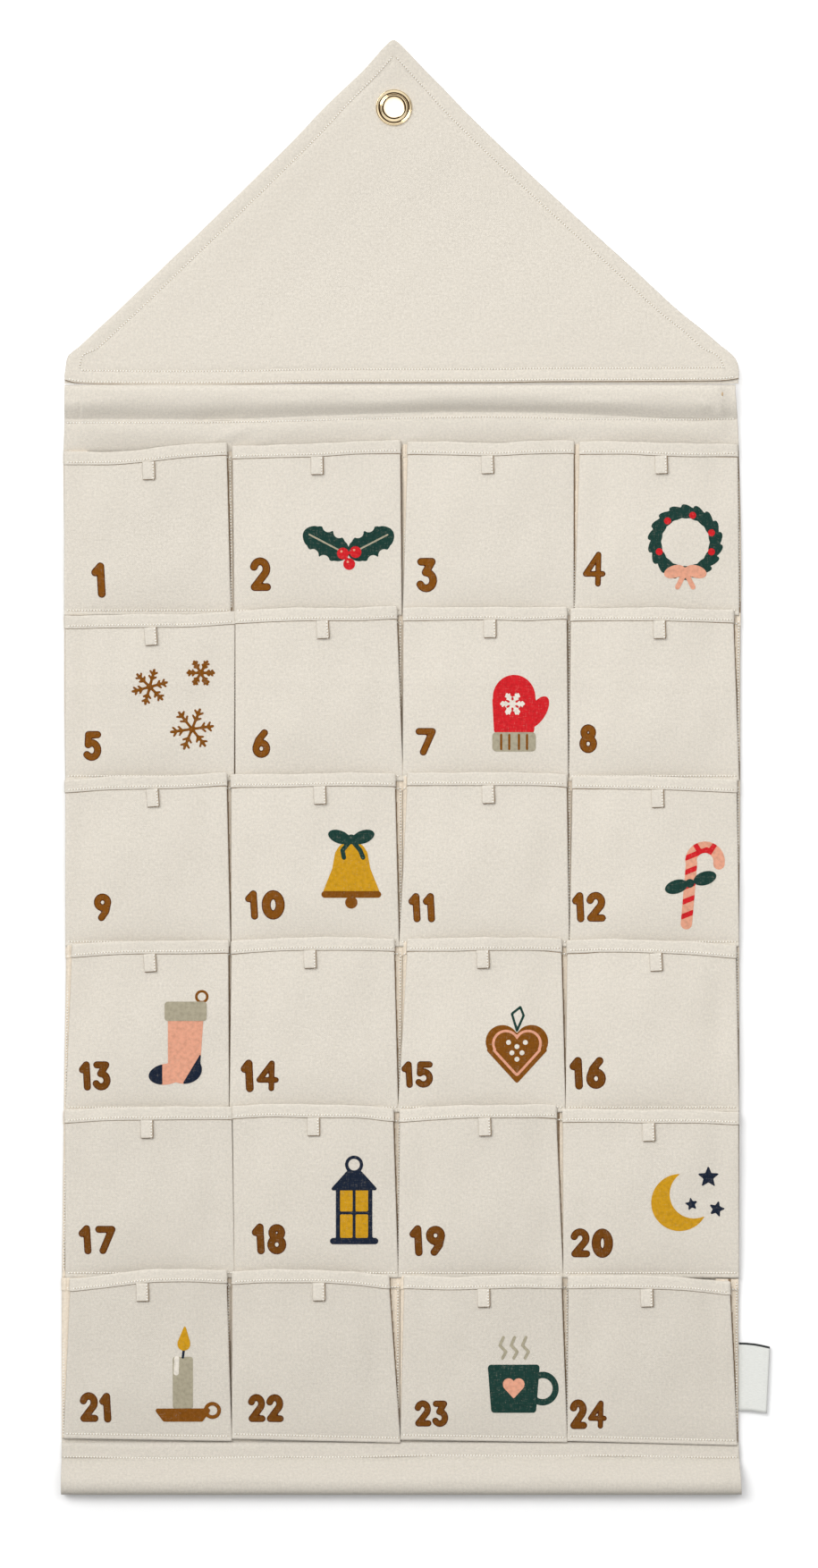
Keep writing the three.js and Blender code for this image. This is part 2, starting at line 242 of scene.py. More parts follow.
# Settings


def tint(name, description, default):
    return FloatVectorProperty(name=name, description=description, subtype="COLOR", default=default)


def length(name, description, default):
    return FloatProperty(name=name, description=description, unit="LENGTH", default=default)


def power(name, description, default, unit="NONE"):
    return FloatProperty(name=name, description=description, unit=unit, default=default)


class CanvasSettings(bpy.types.PropertyGroup):
    """The canvas and the thread it is sewn with."""

    cloth: length("Thickness", "Thickness of one layer", 0.0008)
    thread_pitch: length("Weave", "Threads of the weave", 0.0011)
    colour: tint("Canvas", "Undyed canvas", (0.79, 0.735, 0.645))
    shade: tint("Slubs", "Darker threads", (0.66, 0.595, 0.49))
    # Painted light: the pleats' canvas is lighter and warmer than the cloth, standing for light that bounces in
    # the narrow gaps
    pleat: tint("Pleats", "Canvas deep in the pleats", (0.90, 0.79, 0.645))
    # Painted shadow: dark canvas where shadow falls, beside the pockets' edges in the pleats, under the hems'
    # and the roof's edges and along the tabs
    crease: tint("Creases", "Canvas in the corner of a pleat", (0.28, 0.185, 0.105))
    # Needle holes: small dark discs beside the stitches, painted shade
    hole: tint("Needle holes", "Holes beside the stitches", (0.60, 0.52, 0.41))
    thread: tint("Thread", "Sewing thread", (1.0, 0.975, 0.91))
    stitch_pitch: length("Stitch", "Length of a stitch", 0.0021)
    thread_radius: length("Thread radius", "Half a thread", 0.00055)
    bump: FloatProperty(name="Relief", description="Depth of the weave", default=0.6, subtype="FACTOR")


class PrintSettings(bpy.types.PropertyGroup):
    """Colours of the numbers and motifs."""

    brown: tint("Brown", "Numbers", (0.215, 0.072, 0.006))
    rim: tint("Rim", "Edges of the numbers", (0.085, 0.021, 0.004))
    umber: tint("Umber", "Numbers of the lower rows", (0.16, 0.054, 0.0055))
    green: tint("Dark green", "Leaves", (0.012, 0.045, 0.036))
    sage: tint("Sage", "Cuffs and candles", (0.40, 0.36, 0.26))
    salmon: tint("Salmon", "Pale red", (0.76, 0.36, 0.24))
    red: tint("Red", "Red", (0.62, 0.016, 0.022))
    mustard: tint("Mustard", "Yellow", (0.58, 0.30, 0.012))
    navy: tint("Navy", "Dark blue", (0.011, 0.018, 0.036))
    cream: tint("Cream", "Bare cloth", (0.79, 0.735, 0.645))
    lift: length("Ink", "Ink over the cloth", 0.0001)


class FittingSettings(bpy.types.PropertyGroup):
    """Brass, wood and the label."""

    brass: tint("Brass", "Eyelet", (0.90, 0.74, 0.48))
    tarnish: FloatProperty(name="Tarnish", description="Dulled brass", default=0.12, subtype="FACTOR")
    wood: tint("Beech", "Rods", (0.62, 0.43, 0.25))
    rod: length("Rod", "Diameter of the rods", 0.012)
    label: tint("Label", "Bare label", (0.745, 0.752, 0.715))
    label_edge: tint("Label edge", "Dark edge thread", (0.012, 0.016, 0.015))


class StageSettings(bpy.types.PropertyGroup):
    """Backdrop, light and camera."""

    paper: tint("Backdrop", "Pale paper", (0.9, 0.9, 0.9))
    wall_gap: length("Wall", "Wall behind the cloth", 0.0015)
    distance: length("Camera", "Distance of the camera", 5.0)
    sun: power("Key light", "Light from the upper left", 1.28)
    front: power("Front light", "Light from in front", 11.0, "POWER")
    rear: power("Rear light", "Light from behind", 70.0, "POWER")
    glow: power("Glow", "Light that the paper gives off", 0.08)
    sky: power("Sky", "Even light", 0.70)


SETTINGS = {
    "calendar_canvas": CanvasSettings, "calendar_print": PrintSettings,
    "calendar_fittings": FittingSettings, "calendar_stage": StageSettings,
}


# Materials


def tones(colour, factor=1.0):
    """A colour as a socket takes it, darkened by a factor."""
    return (*(c * factor for c in colour), 1)


class Nodes:
    """Adds and links the nodes of one tree."""

    def __init__(self, tree):
        self.tree = tree

    def put(self, socket, value):
        if isinstance(value, bpy.types.NodeSocket):
            self.tree.links.new(value, socket)
        else:
            socket.default_value = value

    def node(self, kind, inputs=(), **settings):
        made = self.tree.nodes.new(kind)
        for name, value in settings.items():
            setattr(made, name, value)
        for name, value in dict(inputs).items():
            self.put(made.inputs[name], value)
        return made

    def math(self, operation, *values):
        return self.node("ShaderNodeMath", enumerate(values), operation=operation).outputs[0]

    def times(self, a, b):
        return self.math("MULTIPLY", a, b)

    def mix(self, share, a, b):
        inputs = {"Factor": share, "A": a, "B": b}
        return self.node("ShaderNodeMix", inputs, data_type="RGBA").outputs["Result"]

    def cloth(self):
        return self.node("ShaderNodeUVMap", uv_map="cloth").outputs[0]

    def solid(self):
        return self.node("ShaderNodeTexCoord").outputs["Object"]

    def noise(self, source, scale, detail=2.0, roughness=0.5):
        inputs = {"Vector": source, "Scale": scale, "Detail": detail, "Roughness": roughness}
        return self.node("ShaderNodeTexNoise", inputs).outputs[0]

    def streaks(self, source, scales, detail, roughness=0.5):
        """Noise that is stretched to its own scale along each axis."""
        stretched = self.node("ShaderNodeMapping", {"Vector": source, "Scale": scales}).outputs[0]
        return self.noise(stretched, 1.0, detail, roughness)

    def ribs(self, source, scale, direction):
        inputs = {"Vector": source, "Scale": scale}
        return self.node("ShaderNodeTexWave", inputs, bands_direction=direction).outputs["Fac"]

    def band(self, source, low, high, first=0.0, last=1.0):
        inputs = {"Value": source, "From Min": low, "From Max": high, "To Min": first, "To Max": last}
        return self.node("ShaderNodeMapRange", inputs).outputs[0]

    def tinted(self, colour, dark, pattern, low, high, amount):
        """A colour that turns darker by an amount where a pattern is strong."""
        return self.mix(self.times(self.band(pattern, low, high), amount), colour, dark)


class Maker(Nodes):
    """One material, its shader and the nodes that feed it."""

    def __init__(self, name, colour, roughness):
        self.material = bpy.data.materials.new(name)
        self.material.use_nodes = True
        self.material.diffuse_color = tones(colour)
        super().__init__(self.material.node_tree)
        self.shader = self.tree.nodes["Principled BSDF"]
        self.shade({"Base Color": tones(colour), "Roughness": roughness})

    def shade(self, values):
        for name, value in values.items():
            self.put(self.shader.inputs[name], value)

    def bump(self, height, strength, distance):
        inputs = {"Height": height, "Strength": strength, "Distance": distance}
        self.shade({"Normal": self.node("ShaderNodeBump", inputs).outputs[0]})


# Scales of the slubs, for the threads across and the threads along
SLUB_SCALES = ((210, 1000, 1), (1000, 170, 1))


def weave(maker, place, slub_share, lint):
    """Slubs and height of a plain weave: threads that cross over and under, with thick places and lint."""
    scale = 2 * math.pi / (20 * bpy.context.scene.calendar_canvas.thread_pitch)
    threads = [maker.math("SUBTRACT", maker.ribs(place, scale, way), 0.5) for way in "XY"]
    slubs = maker.math("ADD", *(maker.streaks(place, scales, 3) for scales in SLUB_SCALES))
    crossing = maker.math("MULTIPLY_ADD", maker.times(*threads), 1.1)
    height = maker.math("ADD", crossing, maker.times(slubs, slub_share))
    return slubs, maker.math("ADD", height, lint)


# Kinds of canvas: tone against the plain cloth, relief and the setting that holds the colour. Of these, the
# mid, low and foot kinds are darker canvas as painted shade, darker towards the bottom; the pleat kind is
# lighter, warmer canvas as painted light; the darkest kind and the needle holes are painted shadow
CANVAS_KINDS = {
    "calendar_canvas": (1.0, 1.0, "colour"), "calendar_canvas_facing": (0.97, 0.8, "colour"),
    "calendar_canvas_mid": (0.965, 1.0, "colour"), "calendar_canvas_low": (0.925, 1.0, "colour"),
    "calendar_canvas_foot": (0.88, 1.0, "colour"), "calendar_canvas_pleat": (1.0, 1.0, "pleat"),
    "calendar_canvas_crease": (1.0, 1.0, "crease"), "calendar_needle_holes": (1.0, 1.0, "hole"),
}


def canvas_material(name):
    """Undyed cotton canvas: plain weave, slubs, lint and faint unevenness. Some kinds are darker or lighter
    copies that carry painted shade or light.
    """
    s = bpy.context.scene.calendar_canvas
    tone, relief, key = CANVAS_KINDS[name]
    base, shade = (tuple(c * tone for c in colour) for colour in (getattr(s, key), s.shade))
    maker = Maker(name, base, 0.92)
    place = maker.cloth()
    slubs, height = weave(maker, place, 0.6, maker.noise(place, 850, 4, 0.7))
    colour = maker.tinted(tones(base), tones(shade), slubs, 0.82, 1.28, 0.3)
    colour = maker.tinted(colour, tones(shade, 0.62), maker.noise(place, 620), 0.66, 0.8, 0.3)
    colour = maker.tinted(colour, tones(base, 0.72), maker.noise(place, 560, 5, 0.8), 0.38, 0.62, 0.62)
    colour = maker.tinted(colour, tones(base, 0.88), maker.noise(place, 9, 3), 0.35, 0.75, 0.10)
    maker.shade({"Base Color": colour, "Specular IOR Level": 0.2})
    maker.shade({"Sheen Weight": 0.12, "Sheen Roughness": 0.6})
    maker.bump(height, s.bump * relief, 0.0006)
    return maker.material


def ink_material(name, colour):
    """Screen-printed ink that sinks into the weave and leaves a few threads bare."""
    s = bpy.context.scene.calendar_canvas
    maker = Maker(name, colour, 0.85)
    place = maker.cloth()
    lint = maker.noise(place, 1100, 3, 0.6)
    slubs, height = weave(maker, place, 0.8, lint)
    shaded = maker.tinted(tones(colour), tones(colour, 0.55), maker.noise(place, 380, 3), 0.42, 0.70, 0.45)
    dry = maker.times(maker.band(slubs, 1.02, 1.42), maker.band(lint, 0.42, 0.66))
    bare = (*(0.55 * c + 0.3 * t for c, t in zip(s.shade, colour)), 1)
    maker.shade({"Base Color": maker.mix(maker.times(dry, 0.55), shaded, bare), "Specular IOR Level": 0.08})
    maker.bump(height, s.bump, 0.0004)
    return maker.material


def thread_material(name):
    """Cotton sewing thread with its twist."""
    colour = bpy.context.scene.calendar_canvas.thread
    maker = Maker(name, colour, 0.75)
    twist = maker.noise(maker.solid(), 2400, 3, 0.6)
    shaded = maker.mix(maker.band(twist, 0.35, 0.75), tones(colour), tones(colour, 0.78))
    maker.shade({"Base Color": shaded, "Sheen Weight": 0.2})
    maker.bump(twist, 0.4, 0.0001)
    return maker.material


def brass_material(name):
    """Polished brass, dulled in patches and finely scratched."""
    s = bpy.context.scene.calendar_fittings
    maker = Maker(name, s.brass, 0.2)
    place = maker.solid()
    patches = maker.noise(place, 240, 4, 0.6)
    colour = maker.tinted(tones(s.brass), tones(s.brass, 0.6), patches, 0.4, 0.8, s.tarnish)
    rough = maker.math("MULTIPLY_ADD", maker.band(patches, 0.3, 0.8), 0.05, 0.03)
    maker.shade({"Base Color": colour, "Roughness": rough, "Metallic": 1.0})
    maker.bump(maker.streaks(place, (900, 900, 5200), 3), 0.015, 0.0001)
    return maker.material


def wood_material(name):
    """Plain beech: long grain and short flecks."""
    wood = bpy.context.scene.calendar_fittings.wood
    maker = Maker(name, wood, 0.6)
    place = maker.solid()
    grain = maker.streaks(place, (6, 420, 420), 5, 0.6)
    colour = maker.mix(maker.band(grain, 0.3, 0.75), tones(wood), tones(wood, 0.68))
    flecks = maker.streaks(place, (160, 1400, 1400), 2)
    maker.shade({"Base Color": maker.tinted(colour, tones(wood, 0.45), flecks, 0.62, 0.72, 0.6)})
    maker.bump(grain, 0.25, 0.0003)
    return maker.material


def label_material(name, colour):
    """Woven satin of the label, or its dark edge thread."""
    maker = Maker(name, colour, 0.6)
    place = maker.cloth()
    lint = maker.streaks(place, (300, 2600, 1), 3)
    shaded = maker.mix(maker.band(lint, 0.35, 0.75), tones(colour), tones(colour, 0.86))
    maker.shade({"Base Color": shaded, "Sheen Weight": 0.25})
    maker.bump(maker.math("ADD", maker.ribs(place, 900.0, "Y"), lint), 0.25, 0.0002)
    return maker.material


def shared(name, make, *details):
    """The material of that name, made on first use."""
    return bpy.data.materials.get(name) or make(name, *details)


def canvas(kind=""):
    return shared(f"calendar_canvas{kind}", canvas_material)


# Meshes


def add_piece(name, points, faces, materials, uv=None, slots=None, smooth_faces=True):
    """A mesh object from points in millimetres."""
    mesh = bpy.data.meshes.new(name)
    mesh.from_pydata((np.asarray(points, float) * MM).tolist(), [], [tuple(f) for f in faces])
    for material in materials:
        mesh.materials.append(material)
    if slots is not None:
        mesh.polygons.foreach_set("material_index", np.asarray(slots, np.int32))
    mesh.polygons.foreach_set("use_smooth", [smooth_faces] * len(mesh.polygons))
    if uv is not None:
        layer = mesh.uv_layers.new(name="cloth")
        loops = np.zeros(len(mesh.loops), np.int32)
        mesh.loops.foreach_get("vertex_index", loops)
        layer.data.foreach_set("uv", (np.asarray(uv, float)[loops] * MM).ravel())
    mesh.update()
    made = bpy.data.objects.new(name, mesh)
    bpy.context.scene.collection.objects.link(made)
    return made


def grid_normals(grid):
    """Unit normals of a grid of points, rows along the cloth's height."""
    across = np.gradient(grid, axis=1)
    along = np.gradient(grid, axis=0)
    normals = np.cross(across, along)
    return normals / np.maximum(np.linalg.norm(normals, axis=2, keepdims=True), 1e-9)


def cloth_piece(name, grid, thickness, materials, uv, keep=None, slots=None):
    """A sheet of cloth with its thickness and edges, from a grid of points midway through it."""
    rows, columns = grid.shape[:2]
    normals = grid_normals(grid)
    half = np.broadcast_to(np.asarray(thickness, float), (rows, columns))[..., None] / 2
    points = np.concatenate([(grid + normals * half).reshape(-1, 3), (grid - normals * half).reshape(-1, 3)])
    keep = np.ones((rows - 1, columns - 1), bool) if keep is None else keep
    slots = np.zeros((rows - 1, columns - 1), int) if slots is None else slots
    count = rows * columns
    faces, indices = [], []
    edges = {}
    for r, c in zip(*np.nonzero(keep)):
        a = r * columns + c
        ring = (a, a + 1, a + columns + 1, a + columns)
        faces.append(ring)
        faces.append(tuple(count + i for i in reversed(ring)))
        indices += [slots[r, c]] * 2
        for k in range(4):
            edge = (ring[k], ring[(k + 1) % 4])
            if edge[::-1] in edges:
                del edges[edge[::-1]]
            else:
                edges[edge] = slots[r, c]
    for (a, b), index in edges.items():
        faces.append((b, a, a + count, b + count))
        indices.append(index)
    double_uv = np.concatenate([uv.reshape(-1, 2), uv.reshape(-1, 2)])
    return add_piece(name, points, faces, materials, double_uv, indices)


def turned_piece(name, profile, sides, material, axis, place=(0, 0, 0), rotation=None):
    """A piece turned about the X or Y axis from a profile of radius and height."""
    angles = np.linspace(0, 2 * math.pi, sides, endpoint=False)
    c, s = np.cos(angles), np.sin(angles)
    rings = [np.stack([r * c, r * s, np.full(sides, h)], axis=1) for r, h in profile]
    points = np.concatenate(rings)[:, {"X": [2, 0, 1], "Y": [0, 2, 1]}[axis]] + np.asarray(place, float)
    if rotation is not None:
        points = points @ np.array(rotation).T
    faces = []
    last = (len(profile) - 1) * sides
    for first in range(0, last, sides):
        for k in range(sides):
            a, b = first + k, first + (k + 1) % sides
            faces.append((a, b, b + sides, a + sides))
    if profile[0] != profile[-1]:
        faces += [tuple(reversed(range(sides))), tuple(range(last, last + sides))]
    if axis == "Y":
        faces = [face[::-1] for face in faces]
    return add_piece(name, points, faces, [material])


# Sides of a stitch, and as shares of the pitch its length and the place of the needle hole
ROUND = [(math.cos(math.tau * k / 6), math.sin(math.tau * k / 6)) for k in range(6)]
STITCH_SHARE = 0.66
HOLE_SHARE = 0.83
# Where a row's stitches start and end, from the ends of its line, as shares of the pitch
ROW_START = 0.3
ROW_END = 0.7
# How far a needle hole, a dark disc of painted shade, lies over the cloth
HOLE_LIFT = 0.06
FRONTWARDS = (0, -1, 0)
BACKWARDS = (0, 1, 0)
# Where the rays that find a surface start, in metres before the wall
RAY_START = -0.2


def stitch_row(points, out, pitch, radius):
    """Stitches along a line, each a spindle whose ends sink in, and the needle holes between them: dark discs
    of painted shade.
    """
    points, out = np.asarray(points, float), np.asarray(out, float)
    lengths = lengths_along(points)
    made_points, made_faces, holes = [], [], []
    for start in np.arange(ROW_START * pitch, lengths[-1] - ROW_END * pitch, pitch):
        reaches = (start, start + STITCH_SHARE * pitch, start + HOLE_SHARE * pitch)
        a, b, hole = np.stack([np.interp(reaches, lengths, points[:, k]) for k in range(3)], axis=1)
        way = (b - a) / max(np.linalg.norm(b - a), 1e-9)
        side = np.cross(way, out)
        first = len(made_points)
        made_points.append(a - out * radius)
        for share in (0.25, 0.75):
            centre = a + (b - a) * share + out * radius * 0.5
            made_points += [centre + (side * c + out * s) * radius for c, s in ROUND]
        made_points.append(b - out * radius)
        made_points += [hole + out * HOLE_LIFT + (side * c + way * s) * radius for c, s in ROUND]
        last = first + 13
        for k in range(6):
            here, beside = first + 1 + k, first + 1 + (k + 1) % 6
            made_faces += [(first, beside, here), (here, beside, beside + 6, here + 6)]
            made_faces.append((last, here + 6, beside + 6))
        holes.append(tuple(range(last + 6, last, -1)))
    return made_points, made_faces, holes


def settled(piece, body=None, node=None):
    """A piece with the body it rides and the solid it stands for, which is hidden."""
    if node:
        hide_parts(node)
    if body:
        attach(piece, body)
    return piece


def stitching(name, lines, out=FRONTWARDS, body=None):
    """One piece that holds several lines of stitches."""
    s = bpy.context.scene.calendar_canvas
    pitch, radius = millimetres(s.stitch_pitch), millimetres(s.thread_radius)
    points, faces, slots = [], [], []
    for line in lines:
        more, rings, holes = stitch_row(line, out, pitch, radius)
        faces += [tuple(len(points) + i for i in ring) for ring in rings + holes]
        slots += [0] * len(rings) + [1] * len(holes)
        points += more
    # The needle holes take a dark canvas: painted shade
    materials = [shared("calendar_thread", thread_material), shared("calendar_needle_holes", canvas_material)]
    made = add_piece(name, points, faces, materials, np.array(points)[:, [0, 2]], slots)
    return settled(made, body)


class Drape:
    """Finds where a piece's surface is, as seen from the front."""

    def __init__(self, piece):
        mesh = piece.data
        faces = [tuple(p.vertices) for p in mesh.polygons]
        self.tree = BVHTree.FromPolygons([v.co for v in mesh.vertices], faces)

    def y(self, x, z):
        """Distance in millimetres, negative to the front, of the surface at x and z."""
        hit = self.tree.ray_cast(Vector((x * MM, RAY_START, z * MM)), Vector((0, 1, 0)))[0]
        return None if hit is None else hit.y / MM

    def line(self, xs, zs, lift=0.02):
        """Points on the surface at the given places."""
        found = [(x, self.y(x, z), z) for x, z in zip(xs, zs)]
        return np.array([(x, y - lift, z) for x, y, z in found if y is not None])


# Pockets

# Materials of a pocket's cloth: front, hem, pleats in lighter, warmer canvas as painted light, and painted
# shadow in the corners and along the edges
PLEAT_PAINTED_LIGHT_SLOT = 2
PAINTED_SHADOW_SLOT = 3
# Kinds of canvas of the fronts, by rows from the top; the last two rows are darker, painted shade
ROW_CANVAS = ("", "", "", "", "_mid", "_low")
# Height of a hem's stitches, and the thickness of its cloth, which is ironed flat
HEM_STITCH = 112.75
HEM_CLOTH = 0.46
# The pocket whose front has a sharp ridge
RIDGED_POCKET = 23
# Depth of a pleat's cloth where it lies on the panel
PLEAT_DEPTH = 1.85
# By height on a front: its depth at the sides, and how far its middle stands before them
SIDE_DEPTHS = ((0, 3.9), (3.5, 4.0), (9, 4.4), (24, 5.2), (60, 6.1), (100, 6.6), (MOUTH, 6.8))
CROWN_DEPTHS = ((0, 0), (3.5, 0.1), (9, 0.7), (24, 1.9), (60, 3.0), (90, 3.3), (MOUTH, 3.3))
# Ripples of a front, puckers of its stitched hem and the roll of its mouth
FRONT_RIPPLES = (
    (0.34, 0.075, 0.018, 0, 1), (0.34, -0.031, 0.083, 0, 2), (0.2, 0.17, -0.06, 0, 3),
    (0.1, 0.12, 0.21, 0, 1),
)
PUCKERS = ((0.10, 0.33, 0, 0, 1), (0.07, 0.81, 0, 0, 2))
ROLLS = ((0.25, 0.09, 0, 0, 2), (0.15, 0.23, 0, 0, 1))
# How much of the mouth's rise the pleats follow, and how far they hang below it
PLEAT_FOLLOWS = 0.35
PLEAT_DROP = 1.2
# How far the side seams are in from a pocket's sides, and their depth
SIDE_SEAM_INSET = 1.6
SIDE_SEAM_DEPTH = 2.9


def pocket_middle(i):
    return BODY_LEFT + (i % COLUMNS + 0.5) * PITCH


def pocket_bottom(i):
    return FIRST_EDGE - (i // COLUMNS) * ROW_PITCH


def pocket_body(i):
    return f"pocket_{i + 1:02d}"


def front_edges(i, height):
    """Places of a front's left and right edges at a height, from the pocket's middle."""
    share = np.clip(height / MOUTH, 0, 1)
    left_mouth, left_seam, right_mouth, right_seam = (pixel_x(p) - pocket_middle(i) for p in EDGE_PIXELS[i])
    return left_seam + (left_mouth - left_seam) * share, right_seam + (right_mouth - right_seam) * share


def mouth_rise(i, x):
    """How far the mouth stands above or below its level place at x."""
    left, right = front_edges(i, MOUTH)
    level = pocket_bottom(i) + HEM_FOOT
    rises = [pixel_z(p) - level for p in HEM_PIXELS[i]]
    return curve((x - left) / (right - left), (0.02, 0.26, 0.5, 0.74, 0.98), rises)


def low_rise(i, x):
    """How far a pocket's bottom edge stands above its level place at x."""
    if i // COLUMNS < ROWS - 1:
        return np.zeros(np.shape(x))
    low_left, low_right = (pixel_z(p) - pocket_bottom(i) for p in LOW_PIXELS[i % COLUMNS])
    return low_left + (low_right - low_left) * np.clip(np.asarray(x) / PITCH + 0.5, 0, 1)


def front_depth(i, x, height):
    """Depth of a pocket's front before the wall, to the middle of the cloth."""
    left, right = front_edges(i, height)
    across = np.clip((x - left) / (right - left), 0, 1)
    last = 0.006 * height if i // COLUMNS == ROWS - 1 else 0
    depth = last + curve(height, *zip(*SIDE_DEPTHS))
    crown = curve(height, *zip(*CROWN_DEPTHS))
    depth = depth + crown * (0.8 + 0.1 * CROWNS[i]) * 4 * across * (1 - across)
    loose = smooth(height, 8, 40)
    depth = depth - 0.75 * bell((x - left - 16) / 5) * loose - 0.5 * bell((right - 15 - x) / 5) * loose
    depth = depth + loose * ripples(x, height, FRONT_RIPPLES, 1.7 * i)
    for pocket, share, middle, width, length, amount in SOFT_FOLDS:
        if pocket == i + 1:
            place = left + share * (right - left)
            depth = depth + amount * bell((x - place) / width) * bell((height - middle) / (length / 2))
    if i + 1 == RIDGED_POCKET:
        ridge = (x - 36) + (height - 112) * 0.32
        depth = depth + 1.6 * bell(ridge / 2.2) * smooth(height, 62, 100)
    if i // COLUMNS == 1:
        depth = depth + 0.22 * bell((height - 69.5 - x * 0.012) / 1.4)
    return depth - 0.3 * bell((height - SEAM) / 0.9)


def pocket_levels():
    """Heights up the back of the cloth, over the mouth and down the folded hem, with the offset outwards."""
    heights = [0, 1.2, 2.4, 3.1, 3.6, 4.2, 5.2, 7, 10, 14, 19, 25, 32, 39, 46, 53, 60, 66, 69.5, 73, 80, 88]
    heights += [96, 103, 107.5, HEM_SHADOW, 110.95, 112.5, 115.5, 118, 119.2]
    over = [(119.65, 0.15, 0), (119.8, 0.4, 0), (119.6, 0.66, 1), (118.6, 0.76, 1), (116.5, 0.78, 1)]
    over += [(114.6, 0.75, 1), (113.4, 0.70, 1), (112.75, 0.58, 1), (112.3, 0.68, 1), (111.7, 0.76, 1)]
    return [(h, 0.0, 0.0) for h in heights] + over + [(111.15, 0.74, 1), (110.85, 0.6, 1)]


def pocket_path(i, height):
    """One level of a pocket: into the left pleat, across the front and out of the right pleat."""
    left, right = front_edges(i, height)
    base = PLEAT_DEPTH + (0.5 * float(smooth(height, 100, 116)) if i < COLUMNS else 0)
    z = pocket_bottom(i) + height
    swell = 0.6 * float(smooth(height, 4, 30))

    def pleat(edge, sign, depth):
        seam = PITCH / 2 - 0.35 + sign * float(side_shift(pocket_middle(i) + sign * PITCH / 2, z))
        lift = swell * np.sin(math.pi * BASE_SHARES)
        if sign < 0:
            lift = min(max(depth - 4.6, 0), 2.2) * smooth(BASE_SHARES, -0.03, 0.13)
        reach = PLEAT_FOLD + 0.8 - seam
        points = [(sign * (seam + reach * t), -base - b) for t, b in zip(BASE_SHARES, lift)]
        far = base + float(lift[-1])
        points += [(sign * (PLEAT_FOLD + 0.15), -far - 0.3), (sign * PLEAT_FOLD, -far - 0.62)]
        points += [(sign * (PLEAT_FOLD + 0.2), -far - 0.95)]
        inner, outer = (PLEAT_FOLD + 0.9, far + 1.05), (abs(edge) - 1.3, depth - 1.35)
        for t in np.linspace(0, 1, 5):
            bow = 0.3 * math.sin(math.pi * t) * min(1.0, max(outer[1] - inner[1], 0))
            x, y = inner[0] + (outer[0] - inner[0]) * t, inner[1] + (outer[1] - inner[1]) * t
            points.append((sign * x, -y + bow))
        points += [(edge - sign * 0.45, -depth + 0.95), (edge - sign * 0.06, -depth + 0.66)]
        points += [(edge, -depth + 0.36), (edge - sign * 0.12, -depth + 0.12)]
        return points

    left_depth = float(front_depth(i, left + 1, height))
    right_depth = float(front_depth(i, right - 1, height))
    near = np.array([0.8, 2.0, 4.0])
    xs = np.concatenate([left + near, np.linspace(left + 6.5, right - 6.5, 35), right - near[::-1]])
    front = [(x, -float(d)) for x, d in zip(xs, front_depth(i, xs, height))]
    return pleat(left, -1, left_depth) + front + pleat(right, 1, right_depth)[::-1]


def pocket_cloth(i):
    """A pocket's front, side pleats and folded hem, in one sheet of cloth."""
    s = bpy.context.scene.calendar_canvas
    rows = pocket_levels()
    heights, offsets, facing = (np.array(values)[:, None] for values in zip(*rows))
    flat = np.array([pocket_path(i, min(h, MOUTH)) for h, _, _ in rows])
    way = np.gradient(flat, axis=1)
    out = np.stack([way[..., 1], -way[..., 0]], axis=2)
    out /= np.maximum(np.linalg.norm(out, axis=2, keepdims=True), 1e-9)
    puckers = 1 + ripples(flat[..., 0], 0, PUCKERS, i)
    columns = flat.shape[1]
    middle = np.abs(np.arange(columns) - (columns - 1) / 2) / ((columns - 1) / 2)
    tight = np.where((middle > 0.60) & (middle < 0.86), 0.4, puckers)
    flat = flat + out * (offsets * tight)[..., None]
    left, right = front_edges(i, MOUTH)
    rise = mouth_rise(i, np.clip(flat[..., 0], left, right))
    behind = smooth(-flat[..., 1], 2.0, 8.0)
    level = rise * (PLEAT_FOLLOWS + (1 - PLEAT_FOLLOWS) * behind) - PLEAT_DROP * (1 - behind)
    z = heights + level * smooth(heights, 30, 112) + low_rise(i, flat[..., 0]) * (1 - smooth(heights, 6, 60))
    z = z + ripples(flat[..., 0], 0, ROLLS, i) * smooth(heights, 112, 119)
    grid = np.stack([flat[..., 0] + pocket_middle(i), flat[..., 1], z + pocket_bottom(i)], axis=2)
    along, up = lengths_along(flat[0]), lengths_along([row[:2] for row in rows])
    uv = np.stack(np.meshgrid(along + 613 * (i % 5), up + 457 * (i // 5)), axis=2)
    slots = np.tile(facing[1:].astype(int), (1, columns - 1))
    base = len(BASE_SHARES)
    edge_of_front = base + 6
    # The pleats take the lighter, warmer canvas: painted light
    slots[:, :edge_of_front] = slots[:, -edge_of_front:] = PLEAT_PAINTED_LIGHT_SLOT
    rows_up = np.minimum(heights, MOUTH)
    own = front_edges(i, rows_up)[1] + pocket_middle(i)
    beside = front_edges(i - 1, rows_up)[1] + pocket_middle(i - 1) if i % COLUMNS else own - 2 * PITCH
    # Painted shadow: the row under the hem's edge, and the pleats' cloth just beside a front's edge, take the
    # dark canvas
    slots[list(heights[:, 0]).index(HEM_SHADOW), edge_of_front:-edge_of_front] = PAINTED_SHADOW_SLOT
    for edge, part in ((beside, slice(0, base)), (own, slice(columns - base - 1, columns - 1))):
        past = (grid[:, part, 0] - edge)[1:]
        slots[:, part][(past > -1.0) & (past < 1.25)] = PAINTED_SHADOW_SLOT
    thickness = np.where(facing == 1, HEM_CLOTH, millimetres(s.cloth)) * np.ones((1, columns))
    thickness[-2:] *= 0.7
    materials = [canvas(kind) for kind in (ROW_CANVAS[i // COLUMNS], "_facing", "_pleat", "_crease")]
    made = cloth_piece(f"{pocket_body(i)}_cloth", grid, thickness, materials, uv, slots=slots)
    settled(made, node=pocket_body(i))
    return made


def swing(piece):
    """Bakes a pocket piece's placement into its mesh."""
    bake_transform(piece)


